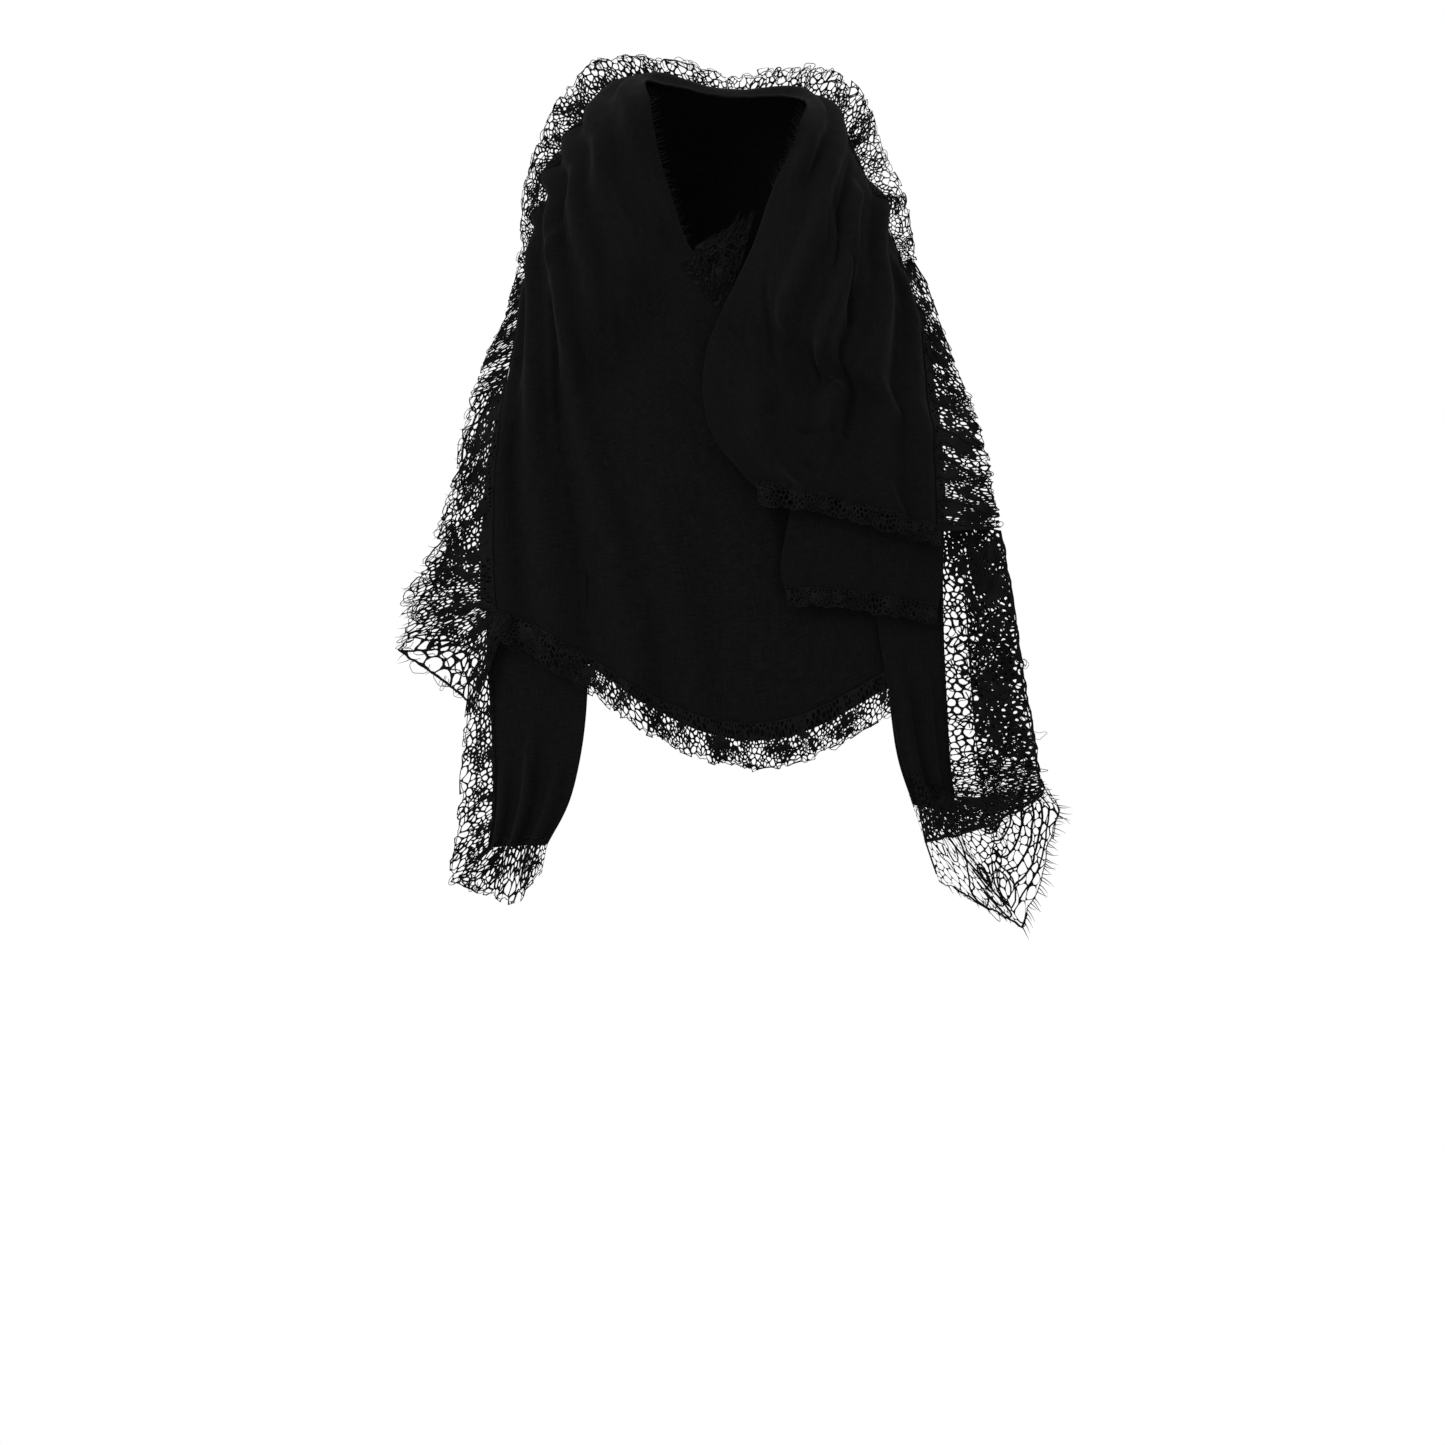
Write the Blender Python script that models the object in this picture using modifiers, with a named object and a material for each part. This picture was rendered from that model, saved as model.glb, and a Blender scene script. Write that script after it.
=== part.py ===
# Lace shawl folded lengthwise, worn round an open neck with both ends hanging in front.
# Sizes are in millimetres until the last step. Z is up and the front faces -Y.
import math

import bmesh
import bpy
from mathutils import Vector

# Main sizes
MM = 0.001
GAUZE_THICK = 1.2
LACE_THICK = 1.4
SEAM_GAP = 0.3
CORD_WIDTH = 3.0
CHEST_HALF_WIDTH = 235.0
NAPE_Y = 57.0
LASH_WIDTH = 1.6
# Middle of a lace border above the middle of the gauze that it is sewn on
SEWN = 1.9
# Below 1, a stretch sags most nearer its inner edge
SAG_SKEW = 0.8
SEAM = 0.008
BACK_ROWS = 1.7
LEAF_ROWS = BACK_ROWS * 16 / 14

# How far the chest stands in front of the neck's axis: columns height, depth
CHEST_DEPTH = (
    (60, 50),
    (0, 62),
    (-50, 82),
    (-100, 103),
    (-150, 117),
    (-200, 123),
    (-250, 124),
    (-300, 122),
    (-350, 118),
    (-450, 110),
)

# Roll over the left shoulder, from the back's middle forward.
# Columns: inner x, y, z, crown x, y, z, outer x, y, z
LEFT_ROLL = (
    (0, 57, 107, 0, 112, 96, 0, 138, -4),
    (-38, 43, 113, -76, 87, 97, -94, 101, 0),
    (-54, 6, 115, -105, 12, 70, -123, 18, 3),
    (-51, -27, 99, -101, -24, 50, -127, -13, -11),
    (-45, -37, 64, -103, -48, 26, -133, -32, -34),
    (-36, -46, 32, -96, -72, -6, -139, -46, -62),
    (-25, -56, 2, -88, -90, -42, -147, -58, -92),
)

# Left front down to its hem. Columns: inner x, z, outer x, z, sag, inner lift, outer lift
LEFT_FRONT = (
    (-4, -22, -154, -122, 8, 2, 0),
    (26, -48, -159, -153, 12, 1, 0),
    (62, -105, -161, -182, 18, 0, 0),
    (92, -170, -162, -210, 26, 0, 0),
    (112, -232, -162, -226, 40, 0, 0),
    (122, -284, -161, -238, 58, 0, 0),
)

# Roll over the right shoulder, same columns as the left
RIGHT_ROLL = (
    (0, 57, 107, 0, 112, 96, 0, 138, -4),
    (38, 43, 106, 72, 84, 86, 88, 98, -2),
    (53, 6, 101, 86, 10, 60, 111, 18, 2),
    (49, -28, 86, 83, -24, 41, 117, -14, -14),
    (42, -40, 66, 79, -51, 19, 124, -33, -35),
    (32, -50, 44, 78, -76, -8, 132, -46, -58),
    (24, -58, 22, 70, -98, -36, 136, -60, -82),
    (14, -70, -4, 62, -113, -62, 139, -76, -104),
)

# Right front, which crosses over the left one, same columns as the left
RIGHT_FRONT = (
    (-2, -38, 141, -125, 6, 15, 12),
    (-13, -66, 142, -143, 8, 17, 14),
    (-16, -96, 143, -158, 8, 18, 16),
    (-8, -127, 143, -173, 5, 18, 17),
    (18, -158, 142, -187, -4, 18, 18),
)

# Folded layer under the right front, same columns
RIGHT_LEAF = (
    (48, -135, 142, -150, 0, 15.0, 12.8),
    (40, -180, 142, -192, 0, 9, 9),
    (35, -210, 141, -218, 0, 8, 8),
    (38, -226, 138, -238, -3, 8, 8),
)

# Hanging stretch at the right, same columns
RIGHT_HANG = (
    (88, -180, 141, -178, 0, 1.8, 1.8),
    (96, -230, 142, -240, 0, 3.2, 3.2),
    (104, -280, 144, -292, 0, 4, 4),
    (112, -325, 147, -340, 0, 5, 5),
    (118, -348, 150, -362, 0, 6, 6),
)

# Under leaf at the left, same columns
LEFT_UNDER = (
    (-92, -215, -158, -205, 0, -2, -2),
    (-91, -270, -158, -262, 0, -3, -3),
    (-94, -320, -155, -318, 0, -5, -5),
    (-103, -362, -154, -362, 0, -6, -6),
    (-118, -392, -157, -394, 0, -7, -7),
)

# Under leaf at the right, same columns
RIGHT_UNDER = (
    (106, -296, 140, -300, 0, 2, 2),
    (112, -335, 145, -338, 0, 1.5, 1.5),
    (122, -366, 150, -372, 0, 0, 0),
)

# Folds that run along a stretch. Columns: middle across, half width, height, first row, last row
LEFT_FOLDS = (
    (0.10, 0.09, 6, 0, 6),
    (0.29, 0.09, 8, 0, 6.5),
    (0.47, 0.08, 7, 1, 7.5),
    (0.64, 0.07, 9, 0.5, 13),
    (0.82, 0.07, 8, 1.5, 13),
    (0.94, 0.05, 5, 3, 13),
    (0.50, 0.08, 7, 8.5, 13),
)
RIGHT_FOLDS = (
    (0.10, 0.09, 6, 0, 5),
    (0.30, 0.09, 7, 0, 8),
    (0.55, 0.07, 12, 2.5, 12.5),
    (0.74, 0.08, 8, 1, 12.5),
    (0.91, 0.06, 6, 3, 12.5),
    (0.22, 0.10, 7, 8.5, 12.5),
)
HANG_FOLDS = ((0.24, 0.15, 5, 1.5, 5), (0.62, 0.16, 5, 1.2, 5))
UNDER_FOLDS = ((0.22, 0.13, 6, 2, 5), (0.55, 0.12, 7, 1.6, 5), (0.85, 0.11, 5, 2, 5))

# Border that stands round the roll. Columns: row of the roll, place across, width
LEFT_COLLAR = (
    (0.04, 0.42, 17),
    (0.8, 0.38, 23),
    (1.3, 0.38, 26),
    (1.8, 0.46, 24),
    (2.1, 0.62, 18),
    (2.4, 0.84, 13),
    (2.75, 0.97, 10),
)
RIGHT_COLLAR = (
    (0.04, 0.42, 17),
    (0.8, 0.38, 20),
    (1.3, 0.42, 21),
    (1.8, 0.50, 20),
    (2.1, 0.66, 17),
    (2.4, 0.86, 13),
    (2.75, 0.97, 10),
)

# Free edge of each lace border, matched to a place along the edge it is sewn to.
# Columns: place, tip x, tip y, tip z
LEFT_SHOULDER_TIPS = (
    (2.95, -140, -14, -20),
    (4, -147, -36, -46),
    (5, -161, -50, -72),
    (5.92, -170, -61, -98),
)
LEFT_BORDER_TIPS = (
    (6, -171, -62, -100),
    (7, -176, -74, -134),
    (8, -184, -84, -163),
    (9, -192, -86, -192),
    (10, -205, -86, -216),
    (11, -216, -86, -240),
    (12, -220, -86, -263),
    (13, -187, -94, -286),
)
LEFT_TAIL_TIPS = (
    (1, -172, -76, -285),
    (2, -175, -76, -329),
    (3, -179, -76, -372),
    (4, -185, -76, -417),
    (4.7, -158, -80, -430),
    (5.3, -141, -84, -436),
    (6, -122, -88, -412),
)
RIGHT_SHOULDER_TIPS = (
    (2.95, 133, -14, -20),
    (4, 139, -36, -46),
    (5, 147, -50, -70),
    (7, 162, -78, -108),
    (8, 170, -90, -130),
    (9, 174, -94, -147),
    (10, 175, -96, -160),
    (11, 178, -96, -172),
    (12, 180, -98, -184),
)
RIGHT_BORDER_TIPS = (
    (0, 181, -90, -186),
    (1, 191, -88, -242),
    (2, 198, -88, -292),
    (3, 206, -88, -338),
    (4, 210, -95, -358),
    (5, 176, -106, -380),
    (6, 130, -111, -392),
)
RIGHT_TAIL_TIPS = (
    (1, 206, -76, -346),
    (1.5, 221, -76, -369),
    (2, 212, -76, -410),
    (2.4, 197, -78, -450),
    (3, 175, -80, -438),
    (4, 140, -84, -418),
)
THROAT_TIPS = (
    (0, -17, -63, 5),
    (1, -11, -65, 9),
    (2, -3, -66, 14),
    (3, 5, -65, 19),
    (4, 13, -61, 23),
    (5, 19, -56, 28),
)
HEM_WIDTH = 21.0
BACK_HEM_WIDTH = 24.0


def between(rows, place, lead=None):
    """Smooth value at a place along a list of vectors that stand one row apart.
    lead is the vector one row before the first, if there is one."""
    place = min(max(place, 0.0), len(rows) - 1.0)
    first = min(int(place), len(rows) - 2)
    part = place - first
    now, after = rows[first], rows[first + 1]
    before = rows[first - 1] if first else lead or now * 2 - after
    later = rows[first + 2] if first + 2 < len(rows) else after * 2 - now
    return (
        now * 2
        + (after - before) * part
        + (before * 2 - now * 5 + after * 4 - later) * part**2
        + (now * 3 - before - after * 3 + later) * part**3
    ) * 0.5


def keyed(rows, place):
    """Straight value from a table whose first column is the place."""
    rows = sorted(rows)
    for one, two in zip(rows, rows[1:]):
        if place <= two[0]:
            part = max((place - one[0]) / (two[0] - one[0]), 0.0)
            return Vector(one[1:]).lerp(Vector(two[1:]), part)
    return Vector(rows[-1][1:])


def chest(x, z, lift):
    """Point on the chest's form at x and z, lifted forward."""
    depth = keyed([(height, depth, 0) for height, depth in CHEST_DEPTH], z)[0]
    side = math.sqrt(max(1 - (x / CHEST_HALF_WIDTH) ** 2, 0.04))
    return Vector((x, -depth * side - lift, z))


def bump(distance, half_width):
    """Soft ridge, one at its middle and nothing past its half width."""
    part = min(abs(distance) / half_width, 1.0)
    return 0.5 + 0.5 * math.cos(math.pi * part)


def roll_point(row, across):
    """Point on one section of the roll, an arch through its three points."""
    inner, crown, outer = (Vector(row[i : i + 3]) for i in (0, 3, 6))
    return (
        inner * (1 - across) * (1 - 2 * across)
        + crown * 4 * across * (1 - across)
        + outer * across * (2 * across - 1)
    )


def front_point(row, across):
    """Point on one section of a front stretch, which sags between its ends."""
    in_x, in_z, out_x, out_z, sag, in_lift, out_lift = row
    x = in_x + (out_x - in_x) * across
    low = max(across, 0.0) ** SAG_SKEW
    z = in_z + (out_z - in_z) * across - sag * (4 * low * (1 - low)) ** 2
    return chest(x, z, in_lift + (out_lift - in_lift) * across)


def stretch(rolls, fronts, folds, past=None):
    """The surface of one stretch of cloth, as a function of row and place across.
    past is the roll's next section beyond its first one."""

    def plain(row, across):
        points = [roll_point(each, across) for each in rolls]
        points += [front_point(each, across) for each in fronts]
        return between(points, row, roll_point(past, across) if past else None)

    def normal(row, across):
        step = 0.02
        along = plain(row + step, across) - plain(row - step, across)
        over = plain(row, across + step) - plain(row, across - step)
        return along.cross(over).normalized()

    side = 1.0
    middle = len(rolls) + len(fronts) - 1.5
    at = plain(middle, 0.5)
    if normal(middle, 0.5).dot(Vector((at.x, at.y, 0))) < 0:
        side = -1.0

    def surface(row, across, out=0.0):
        height = out
        for centre, half, rise, start, end in folds:
            fade = min(max(min(row - start, end - row), 0.0), 1.0)
            height += rise * bump(across - centre, half) * fade * fade * (3 - 2 * fade)
        return plain(row, across) + normal(row, across) * (height * side)

    return surface


left = stretch(LEFT_ROLL, LEFT_FRONT, LEFT_FOLDS, RIGHT_ROLL[1])
right = stretch(RIGHT_ROLL, RIGHT_FRONT, RIGHT_FOLDS, LEFT_ROLL[1])
leaf = stretch((), RIGHT_LEAF, ())
hang = stretch((), RIGHT_HANG, HANG_FOLDS)
left_under = stretch((), LEFT_UNDER, UNDER_FOLDS)
right_under = stretch((), RIGHT_UNDER, ())
LEFT_END = len(LEFT_ROLL) + len(LEFT_FRONT) - 1
RIGHT_END = len(RIGHT_ROLL) + len(RIGHT_FRONT) - 1


def back_edge(round_back):
    """Line just above the roll's lower edge on the back, from left shoulder 0 to right shoulder 1."""
    place = (round_back - 0.5) * 2 * LEAF_ROWS
    out = GAUZE_THICK + SEAM_GAP + 0.4
    return left(-place, 0.985, out) if place < 0 else right(place, 0.985, out)


def back_leaf(round_back, down, out=0.0):
    """The leaf that falls on the back, longest at the middle, with upright folds."""
    top = back_edge(round_back)
    middle = math.sin(math.pi * round_back)
    length = 46 + 120 * middle**0.8
    folds = 5 * down * (1 - math.cos(2 * math.pi * 7 * round_back)) * middle
    outward = Vector((top.x, top.y, 0)).normalized()
    lean = 9 * math.sin(math.pi * 0.5 * down) + folds * 0.5 + out
    return top + outward * lean - Vector((0, 0, length * down))


def material(name, colour, roughness):
    """Plain material of one piece."""
    made = bpy.data.materials.new(name)
    made.use_nodes = True
    shader = made.node_tree.nodes["Principled BSDF"]
    shader.inputs["Base Color"].default_value = (*colour, 1)
    shader.inputs["Roughness"].default_value = roughness
    shader.inputs["Metallic"].default_value = 0.0
    return made


def finish(name, mesh_data, thickness, colour, roughness):
    """Object of an open surface, thickened on both sides, in the shawl's collection."""
    mesh = bpy.data.meshes.new(name)
    bmesh.ops.recalc_face_normals(mesh_data, faces=mesh_data.faces)
    mesh_data.to_mesh(mesh)
    mesh_data.free()
    mesh.shade_smooth()
    mesh.materials.append(material(name, colour, roughness))
    made = bpy.data.objects.new(name, mesh)
    shawl.objects.link(made)
    if thickness:
        shell = made.modifiers.new("wall", "SOLIDIFY")
        shell.thickness = thickness * MM
        shell.offset = 0.0
    return made


def placed(point):
    """From the neck's axis in millimetres to the nape in metres."""
    return (point - Vector((0, NAPE_Y, 0))) * MM


def gauze(name, surface, rows, columns):
    """Plain cloth over a surface given by two places from 0 to 1."""
    sheet = bmesh.new()
    bmesh.ops.create_grid(sheet, x_segments=rows, y_segments=columns, size=1)
    for vert in sheet.verts:
        vert.co = placed(surface(vert.co.x * 0.5 + 0.5, vert.co.y * 0.5 + 0.5))
    return finish(name, sheet, GAUZE_THICK, (0.012, 0.012, 0.013), 0.9)


def lace(name, surface, length, width, cells, ranks, scallops=0, deep=0.0):
    """Openwork border: staggered six-sided gaps between cords, with a scalloped edge."""
    net = bmesh.new()
    bmesh.ops.create_grid(net, x_segments=cells * 2, y_segments=ranks, size=1)
    joins = []
    for edge in net.edges:
        one, two = (vert.co for vert in edge.verts)
        if abs(one.x - two.x) > 1e-6 or abs(one.x) > 1 - 1e-6:
            continue
        column = round((one.x * 0.5 + 0.5) * cells * 2)
        rank = round(((one.y + two.y) * 0.25 + 0.5) * ranks - 0.5)
        if (column + rank) % 2:
            joins.append(edge)
    bmesh.ops.dissolve_edges(net, edges=joins, use_verts=False)
    for vert in net.verts:
        along = vert.co.x * 0.5 + 0.5
        over = vert.co.y * 0.5 + 0.5
        column = round(along * cells * 2)
        rank = round(over * ranks)
        inside = 0 < column < cells * 2
        lift = 0.0
        if 0 < rank < ranks:
            lift = (0.16 if (column + rank) % 2 else -0.16) / ranks
            lift += 0.10 / ranks * math.sin(column * 5.1 + rank * 2.3)
        shift = 0.22 / (cells * 2) * math.sin(column * 3.7 + rank * 8.9) if inside else 0.0
        if inside and ranks == 1 and column % 2 == 0:
            shift += (0.4 if (column // 2 + rank) % 2 else -0.4) / (cells * 2)
        vert.co = Vector(((along + shift) * length, (over + lift) * width, 0))
    holes = list(net.faces)
    bmesh.ops.inset_individual(net, faces=holes, thickness=CORD_WIDTH * 0.5)
    bmesh.ops.delete(net, geom=holes, context="FACES_ONLY")
    for vert in net.verts:
        along, over = vert.co.x / length, vert.co.y / width
        if scallops:
            over *= 1 - deep * (1 - abs(math.sin(math.pi * scallops * along)))
        vert.co = placed(surface(along, over))
    return finish(name, net, LACE_THICK, (0.016, 0.016, 0.017), 0.75)


def border(root, tip, ruffle=0.0, waves=0):
    """Surface from a sewn edge to a free edge, with ruffle waves that grow outward."""

    def surface(along, over):
        start, end = root(along), tip(along)
        across = (end - start).normalized()
        ahead = root(min(along + 0.01, 1.0)) - root(max(along - 0.01, 0.0))
        up = ahead.cross(across).normalized()
        point = start + across * SEAM_GAP * 2
        point = point.lerp(end, over)
        return point + up * (ruffle * over * math.sin(2 * math.pi * waves * along))

    return surface


def lashes(name, edge, count, length, first=0.0, last=1.0, gap=0.8):
    """Fringe of single lashes on a narrow strip along a free edge.
    edge gives a point and the direction out of the cloth, for a place from 0 to 1."""
    strip = bmesh.new()
    rings = []
    places = []
    for i in range(count):
        middle = first + (last - first) * (i + 0.5) / count
        half = (last - first) * 0.09 / count
        places += [middle - half, middle + half]
    for place in places:
        point, out = edge(place)
        after, before = edge(min(place + 0.004, 1))[0], edge(max(place - 0.004, 0))[0]
        up = out.cross(after - before).normalized()
        corners = ((gap, -0.6), (gap + LASH_WIDTH, -0.6), (gap + LASH_WIDTH, 0.6), (gap, 0.6))
        rings.append([strip.verts.new(placed(point + out * a + up * b)) for a, b in corners])
    for i in range(len(rings) - 1):
        one, two = rings[i], rings[i + 1]
        for k in range(4):
            face = strip.faces.new((one[k], one[(k + 1) % 4], two[(k + 1) % 4], two[k]))
            if k == 1 and i % 2 == 0:
                middle = (places[i] + places[i + 1]) * 0.5
                point, out = edge(middle)
                reach = length * (0.8 + 0.2 * math.sin(i * 2.7))
                tip = strip.verts.new(placed(point + out * reach))
                bmesh.ops.delete(strip, geom=[face], context="FACES_ONLY")
                loop = (one[1], one[2], two[2], two[1])
                for m in range(4):
                    strip.faces.new((loop[m], loop[(m + 1) % 4], tip))
    strip.faces.new(rings[0])
    strip.faces.new(rings[-1])
    return finish(name, strip, 0, (0.012, 0.012, 0.013), 0.9)


def part_of(surface, first, last):
    """Stretch of a surface between two of its rows."""

    def piece(along, over):
        return surface(first + (last - first) * along, over)

    return piece


def back_roll(along, over):
    """The roll behind the neck, from the left shoulder to the right one."""
    place = (along - 0.5) * 2 * BACK_ROWS
    return left(-place, over) if place < 0 else right(place, over)


def collar(surface, table):
    """Border standing out from the roll, in the plane that faces the front."""
    rows = [Vector(row) for row in table]

    def setting(along):
        return between(rows, along * (len(rows) - 1))

    def root(along):
        row, across, _ = setting(along)
        return surface(row, across, 1.3 + 1.0 * along)

    def tip(along):
        start = root(along)
        away = Vector((start.x, 0.25 * abs(start.x) - 5, start.z + 8)).normalized()
        return start + away * setting(along)[2]

    return root, tip


def edge_of(surface, end, first, last, along_hem=1.0, sewn=SEWN):
    """Sewn edge down the outer side of a stretch and then along its hem.
    Places run in rows to the end row, and past it along the hem."""

    def root(along):
        place = first + (last - first) * along
        if place <= end:
            return surface(place, 1.0, sewn)
        past = (place - end) / (last - end)
        return surface(end, 1.0 - past * along_hem, sewn)

    return root


def tips(table):
    """Free edge of a border, by the place along the edge it is sewn to."""
    first, last = table[0][0], table[-1][0]

    def tip(along):
        return keyed(table, first + (last - first) * along)

    return tip


def hanging(root, width, out=2.0):
    """Free edge straight below a hem."""

    def tip(along):
        start = root(along)
        return start + Vector((0, -out if start.y < 0 else out, -width))

    return tip


def free_edge(surface):
    """Edge of a border with the direction out of it, for lashes."""

    def edge(along):
        point = surface(along, 1.0)
        return point, (point - surface(along, 0.9)).normalized()

    return edge


for old in list(bpy.data.objects):
    bpy.data.objects.remove(old, do_unlink=True)
shawl = bpy.data.collections.new("lace_shawl")
bpy.context.scene.collection.children.link(shawl)

# Gauze: the roll round the neck is cut where it passes over each shoulder
gauze("wrap_back", back_roll, 14, 16)
gauze("left_shoulder", part_of(left, BACK_ROWS + SEAM, 5 - SEAM), 6, 18)
gauze("left_drape", part_of(left, 5 + SEAM, LEFT_END), 14, 22)
gauze("right_shoulder", part_of(right, BACK_ROWS + SEAM, 5 - SEAM), 6, 18)
gauze("right_drape", part_of(right, 5 + SEAM, RIGHT_END), 11, 18)
gauze("right_fold", part_of(leaf, 0, 3), 6, 5)
gauze("right_side", part_of(hang, 0, 4), 7, 8)
gauze("left_tail", part_of(left_under, 0, 4), 7, 10)
gauze("right_tail", part_of(right_under, 0, 2), 3, 3)
gauze("back_fall", back_leaf, 32, 4)

# Lace that stands round the roll
for name, surface, table in (
    ("collar_lace_left", left, LEFT_COLLAR),
    ("collar_lace_right", right, RIGHT_COLLAR),
):
    lace(name, border(*collar(surface, table), 2.5, 7), 250, 24, 12, 2, 6, 0.12)

# Lace down the left side, round its corner and along the hem
left_shoulder_border = border(edge_of(left, LEFT_END, 2.95, 5.92), tips(LEFT_SHOULDER_TIPS))
left_border = border(
    edge_of(left, LEFT_END, 6, 13, along_hem=0.04), tips(LEFT_BORDER_TIPS), 2.5, 3
)


def left_hem(along):
    """Lower edge of the left drape, from its corner to its far end."""
    return left(LEFT_END, 0.955 - 0.84 * along, SEWN + 0.9)


hem_border = border(left_hem, hanging(left_hem, HEM_WIDTH))
lace("left_shoulder_lace", left_shoulder_border, 130, 13, 8, 1)
lace("left_lace", left_border, 200, 45, 10, 3)
lace("hem_lace", hem_border, 300, HEM_WIDTH, 16, 1, 8, 0.12)

# Lace down the right side, in two layers
right_shoulder_border = border(edge_of(right, RIGHT_END, 2.95, 12), tips(RIGHT_SHOULDER_TIPS))
right_border = border(
    edge_of(hang, 4, 0, 6, 0.9, SEWN + 1.1), tips(RIGHT_BORDER_TIPS), 2.5, 3
)


def right_hem(along):
    """Lower edge of the right drape."""
    return right(RIGHT_END, 0.985 - 0.97 * along, SEWN)


def leaf_hem(along):
    """Lower edge of the folded layer."""
    return leaf(3, 0.99 - 0.98 * along, SEWN)


lace("right_shoulder_lace", right_shoulder_border, 215, 26, 12, 1)
lace("right_lace", right_border, 230, 50, 11, 3)
lace("right_hem_lace", border(right_hem, hanging(right_hem, 13)), 140, 13, 8, 1, 4, 0.15)
lace("right_fold_lace", border(leaf_hem, hanging(leaf_hem, 11)), 105, 11, 6, 1, 3, 0.15)

# Lace of the two under leaves and of the back
left_tail_border = border(
    edge_of(left_under, 4, 1, 6, sewn=SEWN + 0.5), tips(LEFT_TAIL_TIPS)
)
right_tail_border = border(edge_of(right_under, 2, 1, 4, sewn=-SEWN), tips(RIGHT_TAIL_TIPS))


def back_hem(along):
    """Lower edge of the leaf on the back."""
    return back_leaf(0.01 + 0.98 * along, 1.0, SEWN + 0.5)


lace("left_tail_lace", left_tail_border, 210, 27, 12, 1)
lace("right_tail_lace", right_tail_border, 130, 55, 6, 2)
lace("back_hem_lace", border(back_hem, hanging(back_hem, BACK_HEM_WIDTH)), 420, 24, 16, 1, 8, 0.12)


# Lace at the throat, sewn on the left drape beside its inner edge
def throat_root(along):
    """Line on the left drape beside its inner edge."""
    return left(6.2 + 1.3 * along, 0.05, SEWN)


throat_border = border(throat_root, tips(THROAT_TIPS))
lace("throat_lace", throat_border, 60, 32, 6, 1)

# Lashes on the free edges that show them best
lashes("left_lashes", free_edge(left_border), 14, 10, 0.1, 0.85)
lashes("right_tail_lashes", free_edge(right_tail_border), 12, 10, 0.1, 0.6)
lashes("throat_lashes", free_edge(throat_border), 8, 7, 0.05, 0.9, 1.8)
for name, surface, start, stop in (
    ("left_neck_lashes", left, 2.6, 5.9),
    ("right_neck_lashes", right, 2.4, 5.2),
):

    def inner_edge(along, surface=surface, start=start, stop=stop):
        row = start + (stop - start) * along
        point = surface(row, 0.0)
        return point, (point - surface(row, 0.04)).normalized()

    lashes(name, inner_edge, 9, 9)
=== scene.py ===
# Lace shawl worn round an open neck: black gauze, corded lace borders and a fringe of lashes.
# Sizes are millimetres from the middle of the neck, and the nape is the origin of the model.
import math
import random

import bmesh
import bpy
import numpy as np
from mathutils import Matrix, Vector, geometry, noise


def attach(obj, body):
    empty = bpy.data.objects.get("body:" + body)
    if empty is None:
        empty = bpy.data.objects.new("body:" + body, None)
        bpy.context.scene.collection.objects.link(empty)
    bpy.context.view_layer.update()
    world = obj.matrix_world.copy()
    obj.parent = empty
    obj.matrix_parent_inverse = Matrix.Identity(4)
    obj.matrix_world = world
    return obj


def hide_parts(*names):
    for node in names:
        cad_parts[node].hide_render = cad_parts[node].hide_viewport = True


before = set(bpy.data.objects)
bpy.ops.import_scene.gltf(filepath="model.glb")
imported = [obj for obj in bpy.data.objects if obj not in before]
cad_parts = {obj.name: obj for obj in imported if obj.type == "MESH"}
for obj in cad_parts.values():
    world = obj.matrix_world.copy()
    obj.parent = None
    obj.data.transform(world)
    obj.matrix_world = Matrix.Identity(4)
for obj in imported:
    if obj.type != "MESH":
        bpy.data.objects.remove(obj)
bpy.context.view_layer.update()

print("frame loaded")

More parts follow.
